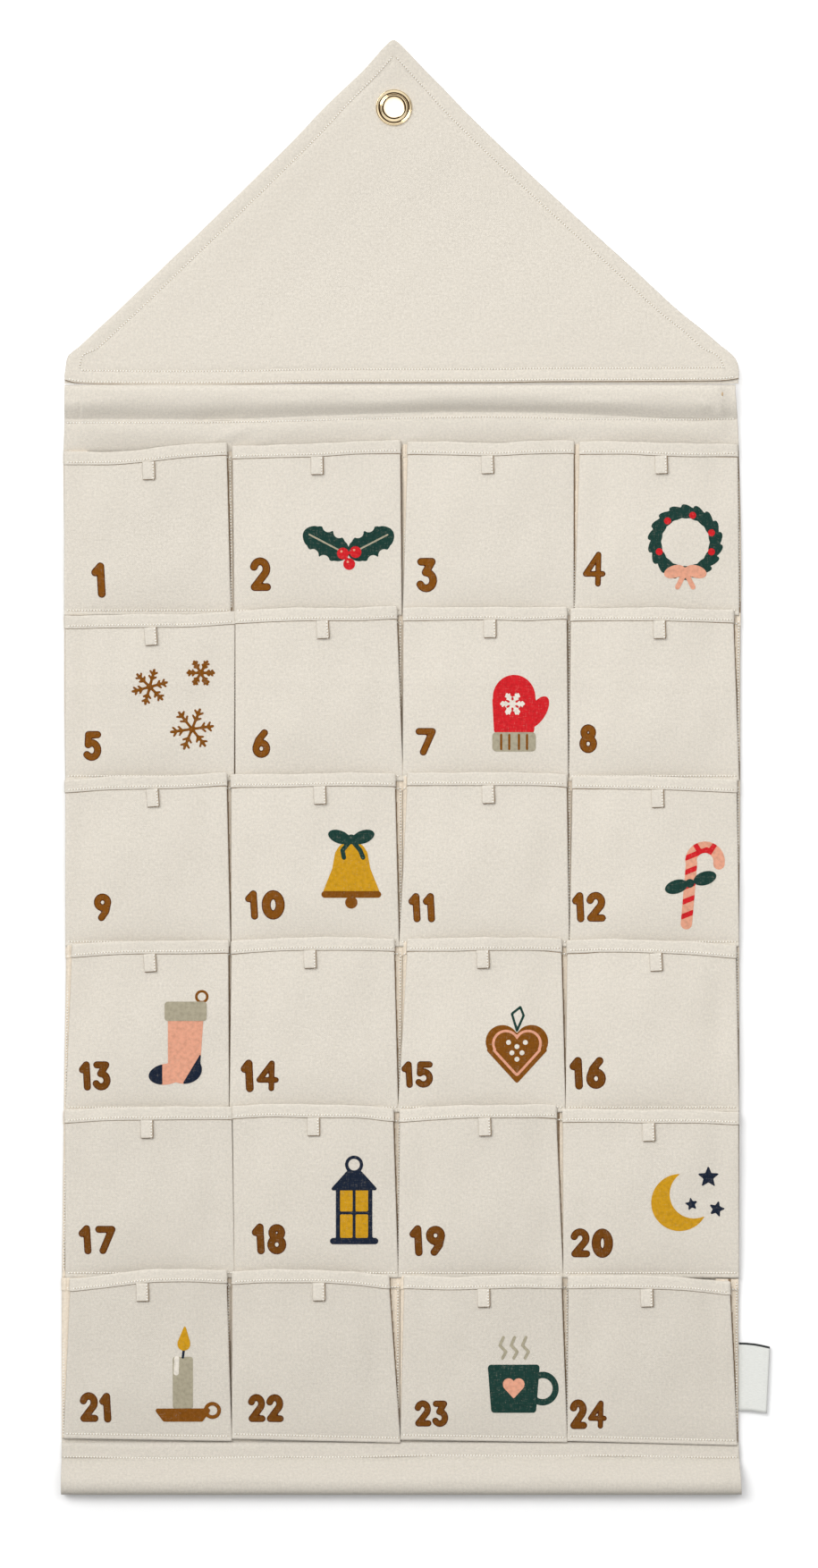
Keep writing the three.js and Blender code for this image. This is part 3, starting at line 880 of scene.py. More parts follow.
def pocket_stitches(i, drape):
    """The hem's edge stitch, the bottom seam and the seam in the left pleat."""
    left, right = front_edges(i, HEM_FOOT)
    xs = np.linspace(left + 1.0, right - 1.0, 60)
    middle, bottom = pocket_middle(i), pocket_bottom(i)
    hem = drape.line(xs + middle, bottom + HEM_STITCH + mouth_rise(i, xs))
    low_left, low_right = front_edges(i, SEAM)
    lows = np.linspace(low_left + 0.8, low_right - 0.8, 60)
    seam = drape.line(lows + middle, bottom + SEAM + low_rise(i, lows), 0.0)
    lines = [hem, seam]
    side = PITCH / 2 - SIDE_SEAM_INSET
    heights = np.linspace(5, 116, 30)
    for sign in (-1, 1):
        xs_side = middle + sign * side + side_shift(middle + sign * side, bottom + heights)
        lines.append(np.stack([xs_side, np.full(30, -SIDE_SEAM_DEPTH), heights + bottom], axis=1))
        edge = left if sign < 0 else right
        if side - abs(edge) > 1.5:
            level = bottom + HEM_STITCH + float(mouth_rise(i, edge)) * PLEAT_FOLLOWS - PLEAT_DROP
            ends = [(middle + sign * reach, -4.1, level) for reach in (abs(edge) - 1, side + 1)]
            lines.append(np.linspace(*ends, 8)[::sign])
    return stitching(f"{pocket_body(i)}_stitching", lines)


# Prints. A shape is a function that gives the distance to its edge at x and z, negative inside


def segment(x, z, a, b, radius=0):
    """Distance to a line with round ends."""
    ax, az = x - a[0], z - a[1]
    bx, bz = b[0] - a[0], b[1] - a[1]
    t = np.clip((ax * bx + az * bz) / max(bx * bx + bz * bz, 1e-9), 0, 1)
    return np.hypot(ax - bx * t, az - bz * t) - radius


def union(*shapes):
    return lambda x, z: np.minimum.reduce([shape(x, z) for shape in shapes])


def common(*shapes):
    return lambda x, z: np.maximum.reduce([shape(x, z) for shape in shapes])


def bitten(shape, bite):
    return lambda x, z: np.maximum(shape(x, z), -bite(x, z))


def hollow(shape, half):
    """The rim of a shape, half its width to each side."""
    return lambda x, z: np.abs(shape(x, z)) - half


def moved(shape, centre, size=1.0):
    return lambda x, z: shape((x - centre[0]) / size, (z - centre[1]) / size) * size


def line(points, radius):
    """A line through points, with round ends and joints."""
    parts = list(zip(points[:-1], points[1:]))
    return lambda x, z: np.minimum.reduce([segment(x, z, a, b, radius) for a, b in parts])


def disc(centre, radius):
    return lambda x, z: np.hypot(x - centre[0], z - centre[1]) - radius


def discs(centres, radius):
    return union(*(disc(centre, radius) for centre in centres))


def turned(x, z, centre, turn):
    """Places in the frame of a shape that is turned about its middle."""
    c, s = math.cos(turn), math.sin(turn)
    dx, dz = x - centre[0], z - centre[1]
    return dx * c + dz * s, -dx * s + dz * c


def oval(centre, half, turn=0.0):
    def distance(x, z):
        a, b = turned(x, z, centre, turn)
        return (np.hypot(a / half[0], b / half[1]) - 1) * min(half)
    return distance


def polygon(corners, rounding=0.0):
    """A polygon with rounded corners."""
    def distance(x, z):
        far, inside = np.full(np.shape(x), 1e9), np.zeros(np.shape(x), bool)
        for (ax, az), (bx, bz) in zip(corners, corners[1:] + corners[:1]):
            far = np.minimum(far, segment(x, z, (ax, az), (bx, bz)))
            slope = (bx - ax) / (bz - az) if bz != az else 0
            inside ^= ((az > z) != (bz > z)) & (x < ax + slope * (z - az))
        return np.where(inside, -far, far) - rounding
    return distance


def trapezium(foot, low, head, high, rounding):
    """An upright shape about x = 0, by its half widths at two heights."""
    return polygon([(-foot, low), (foot, low), (head, high), (-head, high)], rounding)


def around(centre, radius, degrees, squeeze=1.0):
    """The point at an angle, in degrees from the right, anticlockwise."""
    a = math.radians(degrees)
    return centre[0] + radius * squeeze * math.cos(a), centre[1] + radius * math.sin(a)


def arc(centre, radius, start, end, count=14, squeeze=1.0):
    return [around(centre, radius, a, squeeze) for a in np.linspace(start, end, count)]


# Strokes of each digit in a box 1 high, drawn as a brush would, its width and half the brush's width
DIGITS = {
    "0": ([arc((0.36, 0.5), 0.335, 0, 360, 26, 0.64)], 0.72, 0.15),
    "1": ([[(0.12, 0.70), (0.26, 0.86), (0.30, 0.13)]], 0.44, 0.118),
    "2": ([arc((0.33, 0.66), 0.21, 165, -35, 12) + [(0.15, 0.15), (0.56, 0.15)]], 0.68, 0.118),
    "3": ([[(0.14, 0.86), (0.47, 0.86), (0.28, 0.57)] + arc((0.30, 0.35), 0.215, 75, -150, 12)], 0.64, 0.118),
    "4": ([[(0.56, 0.87), (0.12, 0.38), (0.70, 0.38)], [(0.56, 0.87), (0.54, 0.13)]], 0.80, 0.086),
    "5": ([[(0.52, 0.86), (0.19, 0.86), (0.17, 0.54)] + arc((0.30, 0.37), 0.23, 100, -140, 12)], 0.64, 0.118),
    "6": ([[(0.44, 0.86), (0.23, 0.62), (0.15, 0.40)], arc((0.33, 0.34), 0.19, 0, 360, 18)], 0.66, 0.118),
    "7": ([[(0.13, 0.84), (0.54, 0.84), (0.26, 0.14)]], 0.66, 0.118),
    "8": ([arc((0.31, 0.69), 0.155, 0, 360, 16), arc((0.31, 0.32), 0.19, 0, 360, 18)], 0.64, 0.118),
    "9": ([arc((0.32, 0.66), 0.185, 0, 360, 18), [(0.505, 0.66), (0.44, 0.36), (0.28, 0.14)]], 0.66, 0.118),
}
DIGIT_GAP = 0.07
# Height above which the brush gets no wider
TALL_DIGIT = 23.8


def number_shape(text, box):
    """A number that fills a box: left, right, bottom, top."""
    left, right, low, high = box
    height = high - low
    total = sum(DIGITS[c][1] for c in text) + DIGIT_GAP * (len(text) - 1)
    stretch = (right - left) / (total * height)
    strokes, start = [], left
    for c in text:
        lines, width, brush = DIGITS[c]
        for points in lines:
            places = [(start + px * height * stretch, low + pz * height) for px, pz in points]
            strokes.append(line(places, brush * min(height, TALL_DIGIT)))
        start += (width + DIGIT_GAP) * height * stretch
    return union(*strokes)


def cut_grid(distance, xs, zs):
    """Corners and faces of a fine grid, cut along the line where the distance is zero."""
    gx, gz = np.meshgrid(xs, zs, indexing="ij")
    d = distance(gx, gz)
    inside = d < 0
    points, found, faces = [], {}, []

    def corner(i, j):
        key = (i, j)
        if key not in found:
            found[key] = len(points)
            points.append((xs[i], zs[j]))
        return found[key]

    def crossing(a, b):
        key = (min(a, b), max(a, b))
        if key not in found:
            t = d[a] / (d[a] - d[b])
            found[key] = len(points)
            points.append((xs[a[0]] + t * (xs[b[0]] - xs[a[0]]), zs[a[1]] + t * (zs[b[1]] - zs[a[1]])))
        return found[key]

    touched = inside[:-1, :-1] | inside[1:, :-1] | inside[1:, 1:] | inside[:-1, 1:]
    for i, j in zip(*(v.tolist() for v in np.nonzero(touched))):
        corners = [(i, j), (i + 1, j), (i + 1, j + 1), (i, j + 1)]
        ring = []
        for k in range(4):
            a, b = corners[k], corners[(k + 1) % 4]
            if inside[a]:
                ring.append(corner(*a))
            if inside[a] != inside[b]:
                ring.append(crossing(a, b))
        if len(ring) > 2:
            faces.append(ring)
    return points, faces


def printed(name, layers, drape, step):
    """A print on a pocket's front: layers of colour, each a shape and the box it is in."""
    inks = bpy.context.scene.calendar_print
    lift = millimetres(inks.lift)
    points, faces, slots = [], [], []
    colours = list(dict.fromkeys(colour for colour, _, _ in layers))
    for order, (colour, shape, (left, right, low, high)) in enumerate(layers):
        xs, zs = (np.arange(a - 2, b + 2 + step, step) for a, b in ((left, right), (low, high)))
        flat, rings = cut_grid(shape, xs, zs)
        if not rings:
            raise RuntimeError(f"{name}: layer {order} is empty")
        faces += [[len(points) + k for k in ring] for ring in rings]
        slots += [colours.index(colour)] * len(rings)
        for x, z in flat:
            y = drape.y(x, z)
            if y is None:
                raise RuntimeError(f"{name}: no cloth at {x:.1f}, {z:.1f}")
            points.append((x, y - lift * (1 + 0.7 * order), z))
    materials = [shared(f"calendar_ink_{colour}", ink_material, getattr(inks, colour)) for colour in colours]
    made = add_piece(name, points, faces, materials, np.array(points)[:, [0, 2]], slots)
    swing(settled(made))


# Motifs, each about its own middle in millimetres


def snow_star(centre, size, turn):
    """A six-armed snow crystal with small barbs."""
    arms = []
    for a in range(turn, turn + 360, 60):
        arms.append(line([centre, around(centre, size, a)], 0.75))
        for barb in (0.45, 0.72):
            foot = around(centre, barb * size, a)
            arms += [line([foot, around(foot, 0.26 * size, a + spread)], 0.6) for spread in (50, -50)]
    return union(*arms)


def star(centre, outer, inner, rounding, turn=90):
    radii = (outer, inner) * 5
    return polygon([around(centre, radius, turn + 36 * k) for k, radius in enumerate(radii)], rounding)


def heart(centre, size):
    lobes = discs([(side * 0.48, 0.3) for side in (-1, 1)], 0.55)
    tip = polygon([(-0.93, 0.02), (0, -1.0), (0.93, 0.02), (0, 0.5)], 0.06)
    return moved(union(lobes, tip), centre, size)


def leaf(centre, turn):
    """A holly leaf with bites out of its edges."""
    def distance(x, z):
        a, b = turned(x, z, centre, turn)
        body = (np.hypot(a / 18, b / 10.5) - 1) * 10
        bites = np.minimum.reduce([np.hypot(a - k, np.abs(b) - 11.6) - 4.2 for k in (-13, -4.4, 4.4, 13)])
        return np.maximum(body, -bites)
    return distance


def bow(knot, radius, reach, turns, tails=(), thickness=1.6):
    """A bow: two loops about a knot, and its tails."""
    loops = [oval((knot[0] + x, knot[1] + z), reach, turn) for x, z, turn in turns]
    return union(*loops, disc(knot, radius), *(line(tail, thickness) for tail in tails))


def beyond(x_share, z_share, level):
    """The side of a straight edge on which the shares of x and z stay under a level."""
    return lambda x, z: x_share * x + z_share * z - level


CANE = [(-6, -28), (-3, 8)] + arc((5, 9), 8.5, 176, -10, 12)
CANE_BARS = [[(-14, z), (6, z + 8)] for z in np.arange(-26, 16, 8.5)] + [[(5, 10), (x, 24)] for x in (-4, 14)]
LEG = polygon([(-9, -10), (7, -12), (9, 16), (-9, 16)], 2.0)
STOCKING = union(LEG, oval((-1, -15), (11, 9)), oval((-12, -18), (11, 6.5), 0.15))
BELL = polygon([(-17, -12), (17, -12), (11, 3), (9, 14), (-9, 14), (-11, 3)], 2.0)
LANTERN_BARS = (
    ((-10, -20), (-10, 12), 1.3), ((10, -20), (10, 12), 1.3), ((0, -20), (0, 12), 0.9),
    ((-13, -20.5), (13, -20.5), 2.0), ((-10, -3), (10, -3), 0.9),
)
LEAF_TURNS = range(0, 360, 20)
WREATH_LEAVES = [oval(around((0, 0), 19.5, a), (7.5, 3.1), math.radians(a) + 1.05) for a in LEAF_TURNS]
STEAM = [[(k, 15), (k + 2.2, 19), (k - 1.6, 23), (k + 0.6, 28)] for k in (-9, -2, 5)]

# By pocket: name, middle from the pocket's middle and bottom edge, size and layers from below
MOTIFS = {
    2: ("holly", (22, 44), 1.0, (
        ("green", union(leaf((-16, 7), -0.5), leaf((16, 7), 0.5))),
        ("sage", union(line([(-28, 13.5), (-6, 2)], 0.6), line([(28, 13.5), (6, 2)], 0.6))),
        ("red", discs([(-4, 0), (5, 1), (0.5, -7.5)], 4.2)),
        ("salmon", discs([(-5, 1.5), (4, 2.5), (-0.5, -6)], 0.9)),
    )),
    4: ("wreath", (22, 52), 1.1, (
        ("green", union(*WREATH_LEAVES, hollow(disc((0, 0), 18), 2.2))),
        ("red", discs([around((0, 0), 18, a) for a in (20, 75, 130, 200, 340)], 2.3)),
        ("salmon", bow(
            (0, -19), 2.8, (7, 4), ((-7, 0, 0.3), (7, 0, -0.3)), [[(0, -19), (k, -29)] for k in (-5, 5)],
        )),
    )),
    5: ("snow", (18, 52), 1.25, (
        ("brown", union(
            snow_star((-14, 12), 10, 15), snow_star((15, 20), 7.5, 0), snow_star((10, -12), 12, 8),
        )),
    )),
    7: ("mitten", (20, 48), 1.15, (
        ("red", union(
            trapezium(10, -10, 11, 8, 2.5), oval((0, 10), (13.2, 14)), oval((14.5, 1), (5.2, 11), -0.55),
        )),
        ("sage", trapezium(11, -21, 11, -14, 2.5)),
        ("brown", union(*(line([(k, -22), (k, -13)], 0.7) for k in (-8, -3, 3, 8)))),
        ("cream", snow_star((-1, 6), 7, 0)),
    )),
    10: ("bell", (24, 52), 1.05, (
        ("brown", disc((0, -19.5), 4.2)),
        ("mustard", union(BELL, oval((0, 13), (10.5, 9)))),
        ("brown", line([(-18, -14), (18, -14)], 2.3)),
        ("green", bow(
            (0, 23.5), 3.2, (8, 4.4), ((-8, 1.5, -0.35), (8, 1.5, 0.35)),
            ([(0, 23), (-6, 16), (-5, 11)], [(0, 23), (6, 16), (8, 11)]), 1.5,
        )),
    )),
    12: ("cane", (30, 50), 1.2, (
        ("salmon", line(CANE, 3.4)),
        ("red", common(union(*(line(bar, 1.5) for bar in CANE_BARS)), line(CANE, 3.4))),
        ("green", bow((-4, -4), 2.6, (7, 4), ((-8, -2, 0.3), (9, 3, 0.3)))),
    )),
    13: ("stocking", (26, 48), 1.15, (
        ("brown", hollow(disc((10, 30), 3.4), 0.8)), ("salmon", STOCKING),
        ("navy", common(STOCKING, beyond(1, 0, -14.5))), ("navy", common(STOCKING, beyond(-1, 0.6, -12.4))),
        ("sage", trapezium(11, 17, 11, 25, 2.0)),
    )),
    15: ("biscuit", (22, 44), 1.2, (
        ("green", line([(0, 12), (-3, 22), (2, 26), (4, 21), (0, 12)], 0.7)), ("brown", heart((0, 0), 18)),
        ("salmon", hollow(heart((0, 0.2), 13.6), 0.75)),
        ("cream", discs([(0, 2.5), (-5, 5), (5, 5), (0, -5), (-3, -1.2), (3, -1.2)], 1.5)),
    )),
    18: ("lantern", (26, 50), 1.15, (
        ("mustard", trapezium(9, -18, 9, 11, 1.0)),
        ("navy", union(*(line((a, b), half) for a, b, half in LANTERN_BARS))),
        ("navy", union(trapezium(13, 12, 4, 22, 1.0), hollow(disc((0, 27), 4.6), 1.0))),
    )),
    20: ("moon", (18, 54), 1.2, (
        ("mustard", bitten(disc((0, 0), 17), disc((8.5, 5), 14.5))),
        ("navy", union(
            star((17, 15), 6, 2.6, 0.4), star((22, -4), 4.4, 1.9, 0.4, 75), star((7, -1), 3.6, 1.6, 0.3, 100),
        )),
    )),
    21: ("candle", (24, 46), 1.2, (
        ("sage", trapezium(4.5, -16, 4.5, 12, 1.5)), ("cream", line([(-3.6, 12.5), (-3.9, 4)], 1.5)),
        ("navy", line([(0, 13), (0.6, 18)], 0.7)),
        ("mustard", union(disc((0.6, 21), 3.8), polygon([(-2.6, 22), (3.8, 22), (1.2, 31)], 0.6))),
        ("brown", union(trapezium(15, -18.5, 11, -24, 1.2), hollow(disc((17.5, -18.5), 4.0), 1.1))),
    )),
    23: ("mug", (22, 44), 1.15, (
        ("green", hollow(oval((16, -4), (8, 8.5)), 1.9)),
        ("green", polygon([(-14, -17), (10, -17), (12, 9), (-16, 9)], 2.0)),
        ("salmon", heart((-2, -3), 6.5)), ("sage", union(*(line(wisp, 0.9) for wisp in STEAM))),
    )),
}


# Roof

# Slope of the roof's sides: length along a level line, and straight in, for a step in from the edge
SLANT = 1.477
SQUARE_IN = 0.677
# Lower edges of the roof's front and lining
FRONT_LOW = -196.4
LINING_LOW = -197.0
# Half the width of the hole in the cloth
HOLE = 8.6
# How far in the turned edges are sewn, and the line below them along the fold
TURNED_STITCH = 9.8
FOLD_STITCH = 1.9
# Height of the lower corners, below which the roof's sides are upright
CORNER_Z = -176
ROOF_RIPPLES = (
    (0.8, 0.021, 0.011, 0, 0), (0.55, -0.012, 0.034, 1.3, 0), (0.25, 0.09, 0.05, 0.6, 0),
    (0.15, 0.13, -0.11, 0, 0),
)


def roof_grid(low):
    """Places of a grid over the roof, closer together near its edges, its stitches and the eyelet."""
    top = pixel_z(ROOF_PIXELS[0][0])
    steps = [0, 0.5, 1.1, 1.7, 2.4, 3.2, 5, 7, 8.6, 9.4, 10.2, 11, 12.5, 15.5, 19]
    heights = np.concatenate([
        low + np.array(steps), np.linspace(low + 23, -9, 62), np.linspace(-7, 12, 11),
        np.linspace(14.5, top - 3, 14), top - np.array([1.8, 0.9, 0.3, 0]),
    ])
    offsets = np.array([0, 0.7, 1.8, 4, 6.8, 8.6, 9.4, 10.2, 11, 13.5])
    rows = []
    for z, left, right in zip(heights, *sides_at(heights, ROOF_PIXELS)):
        side = offsets * (SLANT if z > -175 else 1.0)
        widest = (right - left) * 0.42
        if side[-1] > widest:
            side = side * (widest / side[-1])
        inner = np.linspace(left + side[-1], right - side[-1], 40)[1:-1]
        rows.append(np.concatenate([left + side, inner, right - side[::-1]]))
    xs = np.array(rows)
    return xs, np.repeat(heights[:, None], xs.shape[1], axis=1)


def roof_layer(name, node, low, middle, bulge, thickness):
    """One layer of the roof's cloth, leant about the eyelet as it hangs."""
    front = bulge > 0
    xs, zs = roof_grid(low)
    left, right = sides_at(zs, ROOF_PIXELS)
    edge = np.minimum(np.minimum(xs - left, right - xs) * SQUARE_IN, zs - low)
    waves = ripples(xs, zs, ROOF_RIPPLES)
    rounded = 0.62 * (1 - smooth(edge, 0, 2.6))
    groove = 0.55 * bell(edge - TURNED_STITCH)
    if front:
        groove = groove + 0.3 * bell((zs - low - FOLD_STITCH) / 0.5)
    near = smooth(np.hypot(xs, zs), 12, 32)
    swell = (waves * smooth(edge, 0, 40) + 0.35) * near * abs(bulge) - (rounded + groove) * abs(bulge)
    y = middle + (-1 if front else 1) * swell - 4.0 * np.clip((zs - 14) / 34, 0, 1) ** 1.6
    z = zs + (traced(xs, ROOF_EDGE) - low) * (1 - smooth(zs, low + 2, low + 40)) * front
    close = np.hypot(xs, z) < HOLE
    keep = ~(close[:-1, :-1] | close[1:, :-1] | close[1:, 1:] | close[:-1, 1:])
    grid = np.stack([xs, y, z], axis=2) @ np.array(LEANING).T
    uv = np.stack([xs, zs], axis=2) + (0 if front else np.array([2000, 700]))
    slots = np.zeros(keep.shape, int)
    # The front's lowest row takes the dark canvas: painted shadow under the roof's lower edge
    slots[0] = front
    made = cloth_piece(name, grid, thickness, [canvas(), canvas("_crease")], uv, keep, slots)
    settled(made, "roof", node)
    return made


class CALENDAR_OT_roof(bpy.types.Operator):
    """Make the roof's two layers of canvas and the stitching round them"""

    bl_idname = "calendar.roof"
    bl_label = "Roof"

    def execute(self, context):
        cloth = millimetres(context.scene.calendar_canvas.cloth)
        drape = Drape(roof_layer("roof_front_cloth", "roof_front", FRONT_LOW, -4.3, 1.0, cloth))
        roof_layer("roof_lining_cloth", "roof_lining", LINING_LOW, -2.75, -0.25, cloth * 0.8)
        heights = np.concatenate([np.linspace(-186.5, CORNER_Z, 8), np.linspace(-172, 36.2, 120)])
        left, right = sides_at(heights, ROOF_PIXELS)
        slant = np.where(heights > CORNER_Z, TURNED_STITCH * SLANT, 10.0) - 2.5 * smooth(heights, -10, 36)
        lines = [drape.line(xs, heights) for xs in (left + slant, right - slant)]
        for rise, inset in ((TURNED_STITCH, 11.0), (FOLD_STITCH, 2.0)):
            xs = np.linspace(BODY_LEFT + inset, BODY_RIGHT - inset, 140)
            lines.append(drape.line(xs, rise + traced(xs, ROOF_EDGE)))
        stitching("roof_stitching", lines, body="roof")
        return {"FINISHED"}


# Profiles of the eyelet and its washer: radius and distance before the wall
EYELET = (
    (7.0, -0.9), (7.0, -5.7), (7.06, -6.2), (7.2, -6.5), (7.38, -6.67), (7.58, -6.74), (8.0, -6.77),
    (8.42, -6.76), (8.66, -6.7), (8.86, -6.54), (9.24, -6.2), (9.66, -5.8), (9.84, -5.64), (10.08, -5.55),
    (10.5, -5.52), (10.95, -5.54), (11.22, -5.62), (11.45, -5.78), (11.92, -6.12), (12.3, -6.36),
    (12.55, -6.42), (12.8, -6.3), (12.92, -5.9), (12.9, -5.3), (12.7, -4.9), (12.0, -4.72), (7.9, -4.72),
    (7.8, -4.5), (7.8, -1.1), (8.2, -0.95), (9.1, -1.0), (9.3, -0.7), (9.0, -0.45), (7.6, -0.42),
    (7.15, -0.6), (7.0, -0.9),
)
WASHER = (
    (8.1, -1.35), (8.1, -2.05), (12.4, -2.1), (12.8, -1.85), (12.85, -1.6), (12.6, -1.35), (10.5, -1.15),
    (8.4, -1.2), (8.1, -1.35),
)


class CALENDAR_OT_eyelet(bpy.types.Operator):
    """Make the brass eyelet and the washer behind it"""

    bl_idname = "calendar.eyelet"
    bl_label = "Eyelet"

    def execute(self, context):
        brass = shared("calendar_brass", brass_material)
        for kind, node, profile in (("eyelet", "eyelet", EYELET), ("washer", "eyelet_washer", WASHER)):
            made = turned_piece(f"brass_{kind}", profile, 96, brass, "Y", rotation=LEANING)
            settled(made, "roof", node)
        return {"FINISHED"}


# Panel and casings

BODY_MIDDLE = (BODY_LEFT + BODY_RIGHT) / 2
# Drag folds in the top casing by pixels: start, end, width and height in millimetres
DRAG_PIXELS = (
    ((240, 493), (256, 489), 2.2, 1.1), ((256, 489), (276, 479), 2.4, 1.0),
    ((286, 494), (306, 492), 1.6, 0.7), ((776, 430), (792, 455), 1.9, 1.5),
    ((784, 430), (800, 456), 2.2, -1.3), ((94, 431), (89, 470), 1.2, -1.2),
    ((226, 470), (262, 464), 3.4, -0.8), ((418, 493), (430, 484), 2.2, 0.9),
    ((440, 495), (470, 488), 2.2, 0.8), ((338, 440), (342, 468), 4.0, 0.6),
    ((410, 434), (418, 466), 3.0, 0.5), ((612, 486), (640, 480), 3.0, 0.9),
    ((560, 440), (566, 470), 5.0, -0.6), ((240, 484), (330, 480), 3.0, 0.5),
    ((700, 478), (790, 484), 4.0, 0.5), ((120, 482), (220, 490), 5.0, 0.4),
)
# Sections of the casings' fronts: share of the way from rod to valley, then to the stitches, and depth
TOP_FRONT = (
    (0, 14.1), (0.1, 14.03), (0.2, 13.88), (0.3, 13.6), (0.4, 13.15), (0.5, 12.45), (0.6, 11.55),
    (0.7, 10.45), (0.8, 9.2), (0.88, 8.15), (0.95, 7.35), (1.0, 6.9), (1.08, 6.6), (1.2, 6.4), (1.5, 6.4),
    (1.8, 6.5), (2.0, 6.35),
)
BOTTOM_FRONT = (
    (0, 14.1), (0.08, 14.05), (0.16, 13.75), (0.25, 13.1), (0.35, 12.1), (0.45, 10.95), (0.55, 9.7),
    (0.65, 8.4), (0.75, 7.1), (0.85, 5.75), (0.93, 4.7), (1.0, 3.85), (1.08, 3.25), (1.2, 2.95), (1.5, 2.8),
    (1.8, 2.65), (2.0, 2.4),
)
# The casings' cloth behind the rod: depth and height above or below it
TOP_BACK = ((5.6, 18.8), (5.1, 17.0), (3.8, 13.5), (2.3, 9.5), (1.1, 5.5), (0.65, 2.5), (0.6, 0))
BOTTOM_BACK = ((1.0, 17.0), (0.9, 13), (0.8, 8), (0.7, 3), (0.6, 0))
# Depth of the top casing's cloth below its stitches, and where its edge and the bottom one's are
TOP_SKIRT = (
    (0, 6.5), (3, 6.75), (6, 6.6), (9, 6.15), (12, 5.55), (15, 4.85), (18, 4.1), (21, 3.2), (24, 2.3),
)
SKIRT_STEPS = (0.6, 1.4, 3, 5, 7.5, 10, 12.5, 15, 17.5, 20, 22, 24)
SKIRT_DEPTH = 2.3
TOP_EDGE = 41.5
BOTTOM_EDGE = 29.5
# Radius of the cloth round the rod
ROUND_ROD = 6.8
LEVEL_RIPPLES = ((0.8, 0.013, 0, 0.5, 0), (0.32, 0.05, 0, 0, 0))


def level(z):
    """A line across the body that wanders a little."""
    return lambda x: z + ripples(x, 0, LEVEL_RIPPLES)


def drag_folds(xs, zs):
    """Depth of the drag folds at given places."""
    far = np.zeros(np.shape(xs))
    for start, end, width, amount in DRAG_PIXELS:
        a, b = ((pixel_x(x), pixel_z(y)) for x, y in (start, end))
        far = far + amount * bell(segment(xs, zs, a, b) / width)
    return far


def casing_rows(top, foot, stitch):
    """Rows of a casing's cloth, from behind its stitches, round the rod and down its front to its edge."""
    edge = TOP_EDGE if top else BOTTOM_EDGE
    rows = [(depth, height, 0) for depth, height in (TOP_BACK if top else BOTTOM_BACK)]
    for a in np.linspace(0.3, math.pi - 0.12, 18):
        square = (0.62 if top else 0.92) if a > math.pi / 2 else 1.0
        out = math.copysign(ROUND_ROD * abs(math.cos(a)) ** square, math.cos(a))
        rows.append((-ROD_Y - out, -ROUND_ROD * math.sin(a) ** square, 0.1))
    for share, depth in TOP_FRONT if top else BOTTOM_FRONT:
        height = 0.5 + (foot - 0.5) * share if share <= 1 else foot + (stitch - foot) * (share - 1)
        rows.append((depth, height, float(smooth(share, 0, 0.4)) if share < 1.9 else 0.0))
    for k, below in enumerate(SKIRT_STEPS):
        if stitch.max() + below < edge:
            depth = float(curve(below, *zip(*TOP_SKIRT))) if top else 2.6 + 0.03 * k
            rows.append((depth, stitch + below, 0.35 if k > 1 else 0.15))
    rows.append((SKIRT_DEPTH, edge, 0.1))
    spread = np.ones(len(foot))
    return (np.array([row[k] * spread for row in rows]) for k in range(3))


def casing(top, foot, stitch):
    """A casing's cloth, and the line along it where its stitches go."""
    name, rod_z, up, drop = ("top", TOP_ROD_Z, 1, 0.22) if top else ("bottom", BOTTOM_ROD_Z, -1, 0.12)
    near = np.array([0, 0.8, 1.8, 3.2, 5.5, 8, 9.5, 10.5, 11.5, 12.5, 14, 17])
    inner = np.linspace(BODY_LEFT + 20, BODY_RIGHT - 20, 190)
    xs = np.concatenate([BODY_LEFT + near, inner, BODY_RIGHT - near[::-1]])
    depth, height, loose = casing_rows(top, *(np.abs(rod_z - edge(xs)) for edge in (foot, stitch)))
    x = np.tile(xs, (len(depth), 1))
    edge = np.minimum(x - BODY_LEFT, BODY_RIGHT - x)
    depth = depth * (1 - drop * smooth(depth, 3.0, 7.0) * (1 - smooth(edge, 4, 15)))
    waves = 0.4 * np.sin(x * 0.031 + rod_z) + 0.25 * np.sin(x * 0.083 + 1.7 * up)
    depth = depth + loose * (waves + 0.2 * np.sin(x * 0.052 + 0.2 * height))
    z = rod_z - up * height
    if top:
        depth = depth + 0.3 * loose * bell((edge - 10.5) / 1.2)
        depth = depth + drag_folds(x, z) * np.minimum(loose + 0.4, 1.0) * (depth > 1.6)
    grid = np.stack([x + side_shift(x, z), -depth, z], axis=2)
    lengths = lengths_along(np.stack([depth.mean(1), height.mean(1)], axis=1))
    uv = np.stack(np.meshgrid(xs, lengths), axis=2) + np.array([0, 1500 if top else 2500])
    if top:
        grid, uv = grid[:, ::-1], uv[:, ::-1]
    # Round the bottom rod the casing takes the darker foot canvas, above its stitches the low canvas: painted
    # shade, darker towards the bottom
    slots = (grid[1:, 1:, 2] > BOTTOM_STITCH_Z + 0.5).astype(int)
    materials = [canvas("_foot"), canvas("" if top else "_low")]
    thickness = millimetres(bpy.context.scene.calendar_canvas.cloth)
    made = cloth_piece(f"{name}_casing_cloth", grid, thickness, materials, uv, slots=slots)
    settled(made, "panel", f"{name}_casing")
    seam = np.linspace(BODY_LEFT + 1, BODY_RIGHT - 1, 200)
    return Drape(made).line(seam + side_shift(seam, stitch(seam)), stitch(seam))


class CALENDAR_OT_casings(bpy.types.Operator):
    """Make the two casings that hold the rods, with their seams"""

    bl_idname = "calendar.casings"
    bl_label = "Casings"

    def execute(self, context):
        top = casing(True, lambda x: traced(x, VALLEY), lambda x: traced(x, CASING_STITCH))
        bottom = casing(False, level(BOTTOM_STITCH_Z - 3), level(BOTTOM_STITCH_Z))
        stitching("casing_stitching", [top, bottom], body="panel")
        return {"FINISHED"}


# Thickness of the panel, which hangs flat under its load
PANEL_CLOTH = 0.42
